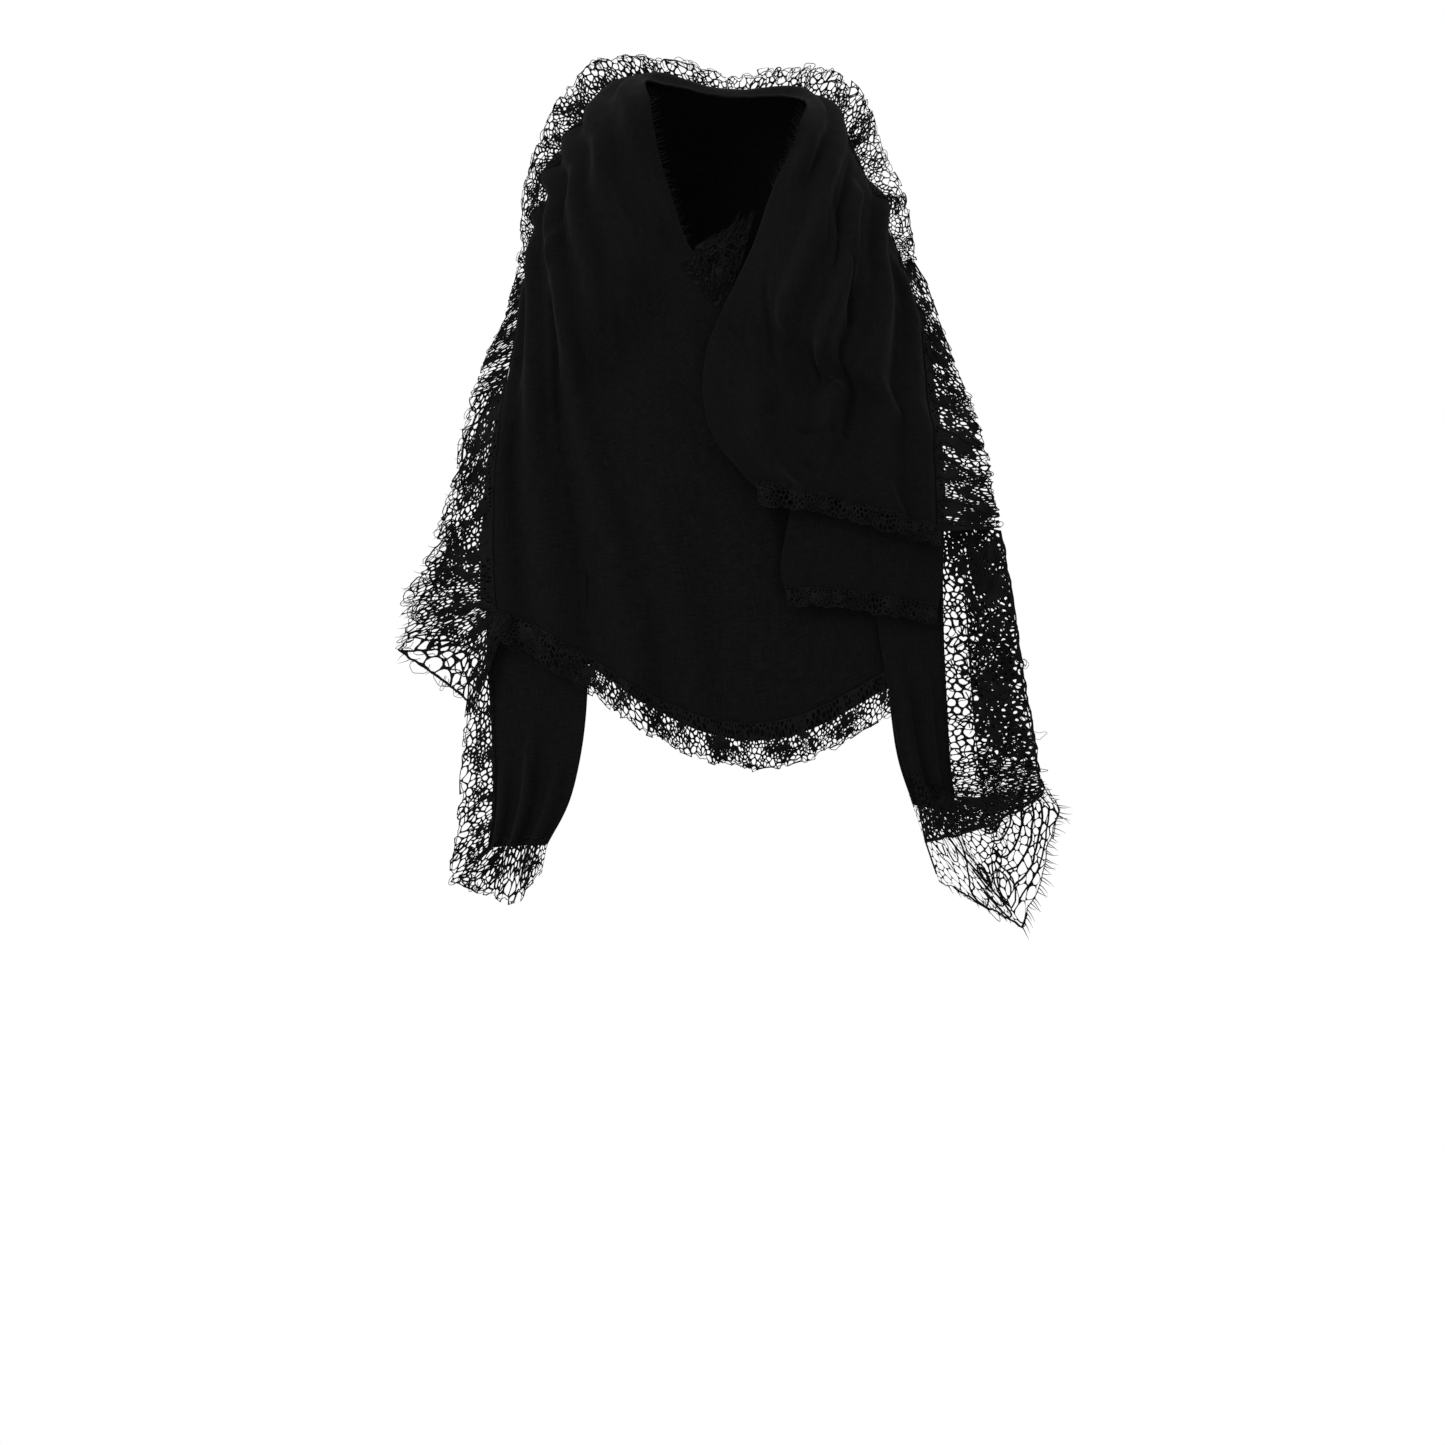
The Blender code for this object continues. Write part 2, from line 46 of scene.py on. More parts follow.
# Where the cloth lies. Roll columns: inner x, y, z, crown x, y, z, outer x, y, z.
# Front columns: inner x, z, outer x, z, sag, inner lift, outer lift.
# Fold columns: middle across, half width, height, first row, last row.
# Crease columns: row, across, row, across, half width, height (a trough is below zero).
body = {
    "nape": 57.0,
    "chestHalf": 235.0,
    "chestDepth": (
        (-450, 110), (-350, 118), (-300, 122), (-250, 124), (-200, 123),
        (-150, 117), (-100, 103), (-50, 82), (0, 62), (60, 50),
    ),
    "rowLength": 33.0,
    "sagSkew": 0.8,
    "acrossLength": 170.0,
}
leftSide = {
    "roll": (
        (0, 57, 107, 0, 112, 96, 0, 138, -4),
        (-38, 43, 113, -76, 87, 97, -94, 101, 0),
        (-54, 6, 115, -105, 12, 70, -123, 18, 3),
        (-51, -27, 99, -101, -24, 50, -127, -13, -11),
        (-45, -37, 64, -103, -48, 26, -133, -32, -34),
        (-36, -46, 32, -96, -72, -6, -139, -46, -62),
        (-25, -56, 2, -88, -90, -42, -147, -58, -92),
    ),
    "front": (
        (-4, -22, -154, -122, 8, 2, 0),
        (26, -48, -159, -153, 12, 1, 0),
        (62, -105, -161, -182, 18, 0, 0),
        (92, -170, -162, -210, 26, 0, 0),
        (112, -232, -162, -226, 40, 0, 0),
        (122, -284, -161, -238, 58, 0, 0),
    ),
    "folds": (
        (0.10, 0.09, 6, 0, 6),
        (0.29, 0.09, 8, 0, 6.5),
        (0.47, 0.08, 7, 1, 7.5),
        (0.64, 0.07, 9, 0.5, 13),
        (0.82, 0.07, 8, 1.5, 13),
        (0.94, 0.05, 5, 3, 13),
        (0.50, 0.08, 7, 8.5, 13),
    ),
    "creases": (
        (5.2, 0.70, 7.4, 0.715, 5.5, -4.0),
        (7.0, 0.715, 11.8, 0.745, 5.5, -4.2),
        (5.6, 0.64, 9.5, 0.66, 6, 1.8),
        (3.8, 0.52, 4.9, 0.70, 6, 2.8),
        (5.2, 0.40, 7.9, 0.55, 7, -2.6),
        (2.2, 0.30, 5.0, 0.22, 7, -2.2),
        (2.6, 0.55, 4.9, 0.58, 6, -2.4),
        (6.8, 0.16, 8.9, 0.30, 9, 2.0),
        (7.4, 0.90, 11.8, 0.89, 5, -2.0),
        (9.2, 0.36, 11.6, 0.44, 10, -2.4),
        (5.6, 0.86, 7.0, 0.90, 5, 1.8),
        (3.2, 0.84, 4.6, 0.76, 5, 1.6),
        (9.8, 0.58, 12.0, 0.62, 6, 2.2),
        (8.6, 0.14, 10.6, 0.22, 8, -2.0),
    ),
}
rightSide = {
    "roll": (
        (0, 57, 107, 0, 112, 96, 0, 138, -4),
        (38, 43, 106, 72, 84, 86, 88, 98, -2),
        (53, 6, 101, 86, 10, 60, 111, 18, 2),
        (49, -28, 86, 83, -24, 41, 117, -14, -14),
        (42, -40, 66, 79, -51, 19, 124, -33, -35),
        (32, -50, 44, 78, -76, -8, 132, -46, -58),
        (24, -58, 22, 70, -98, -36, 136, -60, -82),
        (14, -70, -4, 62, -113, -62, 139, -76, -104),
    ),
    "front": (
        (-2, -38, 141, -125, 6, 15, 12),
        (-13, -66, 142, -143, 8, 17, 14),
        (-16, -96, 143, -158, 8, 18, 16),
        (-8, -127, 143, -173, 5, 18, 17),
        (18, -158, 142, -187, -4, 18, 18),
    ),
    "folds": (
        (0.10, 0.09, 6, 0, 5),
        (0.30, 0.09, 7, 0, 8),
        (0.51, 0.07, 11, 2.5, 10.2),
        (0.74, 0.08, 8, 1, 12.5),
        (0.91, 0.06, 6, 3, 12.5),
        (0.22, 0.10, 7, 8.5, 12.5),
    ),
    "creases": (
        (4.0, 0.43, 6.1, 0.60, 5, -4.2),
        (5.9, 0.60, 9.3, 0.585, 5, -4.2),
        (4.0, 0.34, 6.1, 0.49, 6, 2.6),
        (5.9, 0.49, 9.3, 0.50, 6, 2.6),
        (9.75, 0.36, 9.4, 0.54, 4.5, -3.2),
        (10.4, 0.40, 10.9, 0.46, 9, -3.4),
        (8.3, 0.02, 8.4, 0.15, 5, -2.2),
        (8.6, 0.20, 9.1, 0.33, 5, -2.6),
        (9.1, 0.33, 9.7, 0.27, 5, -2.6),
        (6.6, 0.12, 8.4, 0.26, 6, -2.6),
        (2.4, 0.42, 5.6, 0.46, 6, -2.4),
        (9.4, 0.56, 11.8, 0.40, 6, 2.6),
        (5.0, 0.82, 10.8, 0.84, 5, -2.2),
        (2.2, 0.20, 4.4, 0.18, 7, -2.2),
        (10.2, 0.72, 11.9, 0.80, 6, 2.0),
        (7.4, 0.36, 8.8, 0.48, 5, 1.6),
    ),
}
underLayers = {
    "leaf": (
        (48, -135, 142, -150, 0, 15.0, 12.8),
        (40, -180, 142, -192, 0, 9, 9),
        (35, -210, 141, -218, 0, 8, 8),
        (38, -226, 138, -238, -3, 8, 8),
    ),
    "leafCreases": (
        (1.0, 0.20, 2.8, 0.12, 6, 1.6),
        (0.8, 0.52, 2.7, 0.60, 5, -1.6),
        (1.2, 0.80, 2.9, 0.78, 6, 1.4),
    ),
    "hang": (
        (88, -180, 141, -178, 0, 1.8, 1.8),
        (96, -230, 142, -240, 0, 3.2, 3.2),
        (104, -280, 144, -292, 0, 4, 4),
        (112, -325, 147, -340, 0, 5, 5),
        (118, -348, 150, -362, 0, 6, 6),
    ),
    "hangFolds": ((0.24, 0.15, 5, 1.5, 5), (0.62, 0.16, 5, 1.2, 5)),
    "leftUnder": (
        (-92, -215, -158, -205, 0, -2, -2),
        (-91, -270, -158, -262, 0, -3, -3),
        (-94, -320, -155, -318, 0, -5, -5),
        (-103, -362, -154, -362, 0, -6, -6),
        (-118, -392, -157, -394, 0, -7, -7),
    ),
    "leftUnderFolds": ((0.22, 0.13, 6, 2, 5), (0.55, 0.12, 7, 1.6, 5), (0.85, 0.11, 5, 2, 5)),
    "rightUnder": (
        (106, -296, 140, -300, 0, 2, 2),
        (112, -335, 145, -338, 0, 1.5, 1.5),
        (122, -366, 150, -372, 0, 0, 0),
    ),
}
# height and size of the soft and the fine crumple, and how much longer both are downwards
crumple = {"waves": ((1.1, 30.0), (0.4, 9.0)), "fall": 2.6}


def placed(point):
    # from the middle of the neck in millimetres to the nape in metres
    return (point - Vector((0, body["nape"], 0))) * 0.001


def chestPoint(x, z, lift):
    rows = body["chestDepth"]
    depth = rows[0][1] if z < rows[0][0] else rows[-1][1]
    for one, two in zip(rows, rows[1:]):
        if one[0] <= z <= two[0]:
            depth = one[1] + (two[1] - one[1]) * (z - one[0]) / (two[0] - one[0])
            break
    side = math.sqrt(max(1 - (x / body["chestHalf"]) ** 2, 0.04))  # rounds away to the sides
    return Vector((x, -depth * side - lift, z))


def softBump(distance, half):
    part = min(abs(distance) / half, 1.0)
    return 0.5 + 0.5 * math.cos(math.pi * part)


def rollPoint(row, across):
    # an arch through the inner, crown and outer points
    one = (1 - across) * (1 - 2 * across)
    two = 4 * across * (1 - across)
    three = across * (2 * across - 1)
    return Vector([row[i] * one + row[i + 3] * two + row[i + 6] * three for i in range(3)])


def frontPoint(row, across):
    inX, inZ, outX, outZ, sag, inLift, outLift = row
    x = inX + (outX - inX) * across
    low = max(across, 0.0) ** body["sagSkew"]
    z = inZ + (outZ - inZ) * across - sag * (4 * low * (1 - low)) ** 2
    return chestPoint(x, z, inLift + (outLift - inLift) * across)


def creaseHeight(creases, row, across):
    # distance to each crease's line, measured on the flat cloth
    x, y = row * body["rowLength"], across * body["acrossLength"]
    height = 0.0
    for row0, across0, row1, across1, half, rise in creases:
        ax, ay = row0 * body["rowLength"], across0 * body["acrossLength"]
        bx, by = row1 * body["rowLength"] - ax, across1 * body["acrossLength"] - ay
        part = min(max(((x - ax) * bx + (y - ay) * by) / (bx * bx + by * by), 0.0), 1.0)
        away = math.hypot(x - ax - bx * part, y - ay - by * part)
        if away < half:
            deep = 0.35 + 0.65 * math.sin(math.pi * min(max(part, 0.06), 0.94))  # shallow at both ends
            height += rise * softBump(away, half) * deep
    return height


def crumpleHeight(point):
    height = 0.0
    for rise, size in crumple["waves"]:
        at = Vector((point.x / size, point.y / size, point.z / size / crumple["fall"]))
        height += rise * noise.noise(at)
    return height


def smoothBetween(before, now, after, later, part):
    # a curve from now to after, steered by the points before and later
    return (
        now * 2
        + (after - before) * part
        + (before * 2 - now * 5 + after * 4 - later) * part**2
        + (now * 3 - before - after * 3 + later) * part**3
    ) * 0.5


def clothStretch(rolls, fronts, folds, creases=(), past=None):
    # the surface of one stretch of cloth, by row and place across
    last = len(rolls) + len(fronts) - 1

    def section(index, across):
        if index < len(rolls):
            return rollPoint(rolls[index], across)
        return frontPoint(fronts[index - len(rolls)], across)

    def plain(row, across):
        row = min(max(row, 0.0), float(last))
        first = min(int(row), last - 1)
        part = row - first
        now, after = section(first, across), section(first + 1, across)
        if first:
            before = section(first - 1, across)
        else:
            before = rollPoint(past, across) if past else now * 2 - after
        later = section(first + 2, across) if first + 2 <= last else after * 2 - now
        return smoothBetween(before, now, after, later, part)

    def normal(row, across):
        along = plain(row + 0.02, across) - plain(row - 0.02, across)
        over = plain(row, across + 0.02) - plain(row, across - 0.02)
        return along.cross(over).normalized()

    middle = plain(last - 0.5, 0.5)
    side = 1.0 if normal(last - 0.5, 0.5).dot(Vector((middle.x, middle.y, 0))) > 0 else -1.0

    def surface(row, across, out=0.0):
        height = out
        for centre, half, rise, start, end in folds:
            fade = min(max(min(row - start, end - row), 0.0), 1.0)
            height += rise * softBump(across - centre, half) * fade * fade * (3 - 2 * fade)
        point = plain(row, across)
        height += creaseHeight(creases, row, across) + crumpleHeight(point)
        return point + normal(row, across) * (height * side)

    return surface


leftCloth = clothStretch(
    leftSide["roll"], leftSide["front"], leftSide["folds"], leftSide["creases"], rightSide["roll"][1]
)
rightCloth = clothStretch(
    rightSide["roll"], rightSide["front"], rightSide["folds"], rightSide["creases"], leftSide["roll"][1]
)
leafCloth = clothStretch((), underLayers["leaf"], (), underLayers["leafCreases"])
hangCloth = clothStretch((), underLayers["hang"], underLayers["hangFolds"])
leftUnderCloth = clothStretch((), underLayers["leftUnder"], underLayers["leftUnderFolds"])
rightUnderCloth = clothStretch((), underLayers["rightUnder"], ())
lastRow = 12
# rows of the roll that it hangs from, where it is sewn, its lengths and its upright folds
backLeaf = {
    "rows": 1.7 * 16 / 14, "sewnAcross": 0.985, "sewnOut": 1.9,
    "sideLength": 46, "middleLonger": 120, "folds": 7, "foldHeight": 5, "lean": 9,
}


def eitherSide(place, across, out=0.0):
    # one surface round the neck: the left side's rows count below zero
    return leftCloth(-place, across, out) if place < 0 else rightCloth(place, across, out)


def backFall(roundBack, down, out=0.0):
    # the leaf that falls on the back, with upright folds
    place = (roundBack - 0.5) * 2 * backLeaf["rows"]
    top = eitherSide(place, backLeaf["sewnAcross"], backLeaf["sewnOut"])
    middle = math.sin(math.pi * roundBack)
    length = backLeaf["sideLength"] + backLeaf["middleLonger"] * middle**0.8
    uneven = 1 + 0.35 * math.sin(9.0 * roundBack + 1.1)
    waves = 1 - math.cos(2 * math.pi * backLeaf["folds"] * roundBack)
    folds = backLeaf["foldHeight"] * down * waves * middle * uneven
    outward = Vector((top.x, top.y, 0)).normalized()
    lean = backLeaf["lean"] * math.sin(math.pi * 0.5 * down) + folds * 0.5 + out
    point = top + outward * lean - Vector((0, 0, length * down))
    return point + outward * (crumpleHeight(point) * down)


def partOf(surface, first, last):
    return lambda along, over: surface(first + (last - first) * along, over)


# Finishes: darkest and lightest colour of the yarn, and how it takes the light
gauzeLook = {
    "dark": (0.0016, 0.0016, 0.0018),
    "light": (0.0050, 0.0050, 0.0053),
    "shader": {
        "Roughness": 0.92, "Specular IOR Level": 0.03,
        "Sheen Weight": 0.05, "Sheen Roughness": 0.45, "Sheen Tint": (0.30, 0.30, 0.31, 1),
    },
}
laceLook = {
    "dark": (0.0016, 0.0015, 0.0016),
    "light": (0.0044, 0.0042, 0.0042),
    "shader": {
        "Roughness": 0.78, "Specular IOR Level": 0.06,
        "Sheen Weight": 0.02, "Sheen Roughness": 0.4, "Sheen Tint": (0.32, 0.31, 0.30, 1),
    },
}
fringeLook = {
    "dark": (0.0030, 0.0029, 0.0029),
    "light": laceLook["light"],
    "shader": {"Roughness": 0.85, "Specular IOR Level": 0.1},
}


def setInputs(node, values):
    for socket, value in values.items():
        node.inputs[socket].default_value = value


def newMaterial(name, look):
    made = bpy.data.materials.new(name)
    made.use_nodes = True
    setInputs(made.node_tree.nodes["Principled BSDF"], look["shader"])
    return made


def addNode(made, kind, values, *wires):
    # a node with its settings; each wire is a socket that comes in and the input it goes to
    node = made.node_tree.nodes.new(kind)
    setInputs(node, values)
    for source, socket in wires:
        made.node_tree.links.new(source, node.inputs[socket])
    return node


def colourBetween(made, look, share, low=0.0, high=1.0):
    # from the dark to the light yarn as the share goes from low to high
    ramp = addNode(made, "ShaderNodeValToRGB", {}, (share, "Fac"))
    for stop, place, yarn in zip(ramp.color_ramp.elements, (low, high), ("dark", "light")):
        stop.position = place
        stop.color = (*look[yarn], 1)
    shader = made.node_tree.nodes["Principled BSDF"]
    made.node_tree.links.new(ramp.outputs["Color"], shader.inputs["Base Color"])


def raisedBy(made, height, strength, distance):
    settings = {"Strength": strength, "Distance": distance}
    bump = addNode(made, "ShaderNodeBump", settings, (height, "Height"))
    shader = made.node_tree.nodes["Principled BSDF"]
    made.node_tree.links.new(bump.outputs["Normal"], shader.inputs["Normal"])


def gauzeFinish():
    # fine open weave with uneven threads, read from the cloth's own flat sizes
    made = newMaterial("blackGauze", gauzeLook)
    flat = addNode(made, "ShaderNodeUVMap", {})
    flat.uv_map = "UVMap"
    threads = []
    for turn, scale in ((0, (0.9, 14.0, 1.0)), (1, (14.0, 0.9, 1.0))):
        mapping = addNode(
            made, "ShaderNodeMapping", {"Scale": scale, "Location": (turn * 3.1, turn * 7.7, 0)},
            (flat.outputs["UV"], "Vector"),
        )
        threads.append(addNode(
            made, "ShaderNodeTexNoise", {"Scale": 0.12, "Detail": 3.0, "Roughness": 0.6},
            (mapping.outputs["Vector"], "Vector"),
        ))
    crossing = [(thread.outputs["Fac"], i) for i, thread in enumerate(threads)]
    weave = addNode(made, "ShaderNodeMath", {}, *crossing)
    weave.operation = "MULTIPLY"
    gaps = addNode(made, "ShaderNodeTexVoronoi", {"Scale": 1.1}, (flat.outputs["UV"], "Vector"))
    height = addNode(
        made, "ShaderNodeMath", {1: 0.35}, (gaps.outputs["Distance"], 0), (weave.outputs[0], 2),
    )
    height.operation = "MULTIPLY_ADD"
    raisedBy(made, height.outputs[0], 0.5, 0.0006)
    colourBetween(made, gauzeLook, weave.outputs[0], 0.12, 0.42)
    return made


def laceFinish():
    # twisted yarn: fine ribs and a little wear on the cords
    made = newMaterial("blackLaceYarn", laceLook)
    place = addNode(made, "ShaderNodeTexCoord", {}).outputs["Object"]
    yarn = addNode(made, "ShaderNodeTexNoise", {"Scale": 900.0, "Detail": 4.0}, (place, "Vector"))
    wear = addNode(made, "ShaderNodeTexNoise", {"Scale": 90.0}, (place, "Vector"))
    raisedBy(made, yarn.outputs["Fac"], 0.6, 0.0004)
    colourBetween(made, laceLook, wear.outputs["Fac"], 0.35, 0.72)
    return made


def fringeFinish():
    # single threads, a little lighter at their frayed places
    made = newMaterial("blackFringeThread", fringeLook)
    place = addNode(made, "ShaderNodeTexCoord", {}).outputs["Object"]
    fray = addNode(made, "ShaderNodeTexNoise", {"Scale": 400.0}, (place, "Vector"))
    colourBetween(made, fringeLook, fray.outputs["Fac"])
    return made


gauzeYarn = gauzeFinish()
laceYarn = laceFinish()
fringeYarn = fringeFinish()
print("finishes ready")


def selectOnly(piece):
    bpy.ops.object.select_all(action="DESELECT")
    piece.select_set(True)
    bpy.context.view_layer.objects.active = piece


def thicken(piece, wall):
    # merged, turned outwards, then given its thickness
    selectOnly(piece)
    bpy.ops.object.mode_set(mode="EDIT")
    bpy.ops.mesh.select_all(action="SELECT")
    bpy.ops.mesh.remove_doubles(threshold=0.00002)
    bpy.ops.mesh.normals_make_consistent(inside=False)
    bpy.ops.object.mode_set(mode="OBJECT")
    shell = piece.modifiers.new("wall", "SOLIDIFY")
    shell.thickness = wall * 0.001
    shell.offset = 0.0
    bpy.ops.object.modifier_apply(modifier="wall")
    bpy.ops.object.shade_smooth()


def makeCloth(name, size, surface, node):
    # a grid is added and every point of it is laid on the cloth's surface
    bpy.ops.object.select_all(action="DESELECT")
    bpy.ops.mesh.primitive_grid_add(
        x_subdivisions=size["rows"], y_subdivisions=size["columns"], size=2,
    )
    piece = bpy.context.active_object
    piece.name = name
    piece.data.name = name
    for vert in piece.data.vertices:
        vert.co = placed(surface(vert.co.x * 0.5 + 0.5, vert.co.y * 0.5 + 0.5))
    width, length = size["flat"]
    for corner in piece.data.uv_layers["UVMap"].data:
        corner.uv = (corner.uv[0] * length, corner.uv[1] * width)
    piece.data.materials.append(gauzeYarn)
    thicken(piece, size["wall"])
    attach(piece, "root")
    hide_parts(*node)
    size.get("area")


def flatCurve(controls, steps):
    # smooth line through control points on the flat lace
    rows = [Vector(c) for c in controls]
    line = []
    for i in range(len(rows) - 1):
        before = rows[i - 1] if i else rows[0] * 2 - rows[1]
        later = rows[i + 2] if i + 2 < len(rows) else rows[-1] * 2 - rows[-2]
        for k in range(steps):
            t = k / steps
            line.append((
                rows[i] * 2 + (rows[i + 1] - before) * t
                + (before * 2 - rows[i] * 5 + rows[i + 1] * 4 - later) * t * t
                + (rows[i] * 3 - before - rows[i + 1] * 3 + later) * t**3
            ) * 0.5)
    line.append(rows[-1])
    return line


def motifLines(plan):
    # branching stems, nested petals and arcs, on the flat lace
    dice = random.Random(plan["seed"] + 40)
    length, width = plan["length"], plan["width"]
    lines = []
    for i in range(plan["stems"]):
        x = length * (i + 0.5) / plan["stems"] + dice.uniform(-3, 3)
        lean = dice.choice((-1, 1)) * dice.uniform(0.2, 0.55) * width
        tip = width * dice.uniform(0.72, 0.98)
        # it leans over and curls back at its tip
        stem = (
            (x, -plan["overlap"] * 0.6), (x + lean * 0.2, tip * 0.3), (x + lean * 0.8, tip * 0.62),
            (x + lean * 1.25, tip * 0.92), (x + lean * 0.9, tip), (x + lean * 0.45, tip * 0.84),
        )
        lines.append((flatCurve(stem, 6), plan["stemCord"] * dice.uniform(0.8, 1.15)))
        off = -lean * dice.uniform(0.6, 1.1)  # the branch goes the other way
        branch = (
            (x + lean * 0.3, tip * 0.38), (x + lean * 0.3 + off * 0.5, tip * 0.55),
            (x + lean * 0.3 + off, tip * 0.6), (x + lean * 0.3 + off * 1.1, tip * 0.46),
        )
        lines.append((flatCurve(branch, 5), plan["stemCord"] * 0.75))
    for cx, cy, reach, turn, rings in plan["petals"]:
        for ring in range(rings):
            size = reach * (1 - ring / (rings + 0.6))
            line = []
            turns = max(int(size * 1.6), 14)
            for k in range(turns + 1):
                angle = 2 * math.pi * k / turns
                fat = 0.52 * math.sin(angle) * (1 + 0.35 * math.cos(angle))  # wider at one end
                px, py = size * math.cos(angle), size * fat
                line.append(Vector((
                    cx + px * math.cos(turn) - py * math.sin(turn),
                    cy + px * math.sin(turn) + py * math.cos(turn),
                )))
            lines.append((line, plan["petalCord"]))
    for first, last, out, bend, thick in plan["arcs"]:
        line = []
        for i in range(21):
            part = i / 20
            line.append(Vector((first + (last - first) * part, out - bend * (2 * part - 1) ** 2)))
        lines.append((line, thick))
    return lines


mostCells = 9000  # in one border


def scatterPoints(plan, lines):
    # seeds for the cells: close together by the cloth and the motifs, far apart between them
    dice = random.Random(plan["seed"])
    length, low, high = plan["length"], -plan["overlap"], plan["width"]
    squeeze = plan["squeeze"]
    drawn = np.array([tuple(p) for line, _ in lines for p in line])
    kept = np.zeros((mostCells, 3))
    count = 0
    tries = int(9 * length * (high - low) / plan["near"] ** 2)
    for _ in range(tries):
        x, y = dice.uniform(0, length), dice.uniform(low, high)
        away = math.sqrt(((drawn[:, 0] - x) ** 2 + (drawn[:, 1] - y) ** 2).min())
        gap = cellGap(plan, x, y, away)
        near = kept[:count]
        apart = (near[:, 0] - x) ** 2 + ((near[:, 1] - y) * squeeze) ** 2
        if count and (apart < ((near[:, 2] + gap) * 0.5) ** 2).any():
            continue
        kept[count] = (x, y, gap)
        count += 1
        if count == mostCells:
            break
    return kept[:count]


def freeEdge(plan, x):
    # how far out the net goes: its last loops are uneven, but for a hem that starts at evenFrom
    wide = noise.noise(Vector((x / 7.0, 1.7, plan["seed"])))
    fine = noise.noise(Vector((x / 3.0, 8.1, plan["seed"])))
    bite = 0.5 + 0.8 * wide + 0.5 * fine
    smooth = min(max((x / plan["length"] - plan["evenFrom"]) * 30, 0.0), 1.0)
    return plan["width"] * (1 - plan["bite"] * (1 - smooth) * min(max(bite, 0.0), 1.0))


def cellGap(plan, x, y, away):
    # how far a seed stays from the next one
    over = min(max(y / plan["width"], 0.0), 1.0)
    gap = plan["near"] + (plan["far"] - plan["near"]) * over ** plan["open"]
    wide = noise.noise(Vector((x / 8.0, y / 8.0, plan["seed"])))
    fine = noise.noise(Vector((x / 3.5, y / 3.5, plan["seed"] + 3.0)))
    gap *= math.exp(plan["mix"] * (wide + 0.7 * fine))
    close = min(max((away - 0.8) / plan["motifReach"], 0.0), 1.0)
    gap *= plan["motifGap"] + (1.25 - plan["motifGap"]) * close
    for cx, cy, reach, share in plan["motifs"]:
        inside = math.hypot(x - cx, (y - cy) * 1.15) / reach
        if inside < 1:
            gap *= share + (1 - share) * inside**2
    return max(gap, plan["least"])


def netCells(plan, lines):
    # each cell is the ground nearest to one seed; seeds mirrored past the sides keep those straight
    seeds = scatterPoints(plan, lines)
    length, low, high = plan["length"], -plan["overlap"], plan["width"]
    squeeze = plan["squeeze"]
    own = [Vector((x, y * squeeze)) for x, y, _ in seeds]
    low, high = low * squeeze, high * squeeze
    reach = plan["far"] * 2.2
    rim = list(own)
    rim += [Vector((-p.x, p.y)) for p in own if p.x < reach]
    rim += [Vector((2 * length - p.x, p.y)) for p in own if length - p.x < reach]
    every = list(rim)
    every += [Vector((p.x, 2 * low - p.y)) for p in rim if p.y - low < reach]
    every += [Vector((p.x, 2 * high - p.y)) for p in rim if high - p.y < reach]
    points, _, triangles = geometry.delaunay_2d_cdt(every, [], [], 0, 0.0001, False)[:3]
    centres = []
    around = [[] for _ in points]
    for index, triangle in enumerate(triangles):
        a, b, c = (points[i] for i in triangle)
        d = 2 * (a.x * (b.y - c.y) + b.x * (c.y - a.y) + c.x * (a.y - b.y))
        if abs(d) < 1e-9:
            centres.append(None)
            continue
        aa, bb, cc = a.length_squared, b.length_squared, c.length_squared
        centres.append((
            (aa * (b.y - c.y) + bb * (c.y - a.y) + cc * (a.y - b.y)) / d,
            (aa * (c.x - b.x) + bb * (a.x - c.x) + cc * (b.x - a.x)) / d,
        ))
        for i in triangle:
            around[i].append(index)
    cells = []
    for i, seed in enumerate(points):
        if not (0 < seed.x < length and low < seed.y < high):
            continue
        ring = [centres[k] for k in around[i] if centres[k]]
        ring.sort(key=lambda c: math.atan2(c[1] - seed.y, c[0] - seed.x))
        clean = []
        for x, y in ring:
            x, y = min(max(x, 0.0), length), min(max(y, low), high)
            if not clean or math.hypot(x - clean[-1][0], y - clean[-1][1]) > 0.12:
                clean.append((x, y))
        if len(clean) > 1 and math.hypot(clean[0][0] - clean[-1][0], clean[0][1] - clean[-1][1]) < 0.12:
            clean.pop()
        if len(clean) > 2:
            cells.append([(x, y / squeeze) for x, y in clean])
    return cells


# flat areas in square millimetres, and shares of a side or of a cord's width
netShape = {"filledUnder": 9, "roundedFrom": 4.2, "round": 0.26, "slip": 0.22, "leastHole": 0.22}
motifShape = {"cord": 1.25, "closed": 0.12}


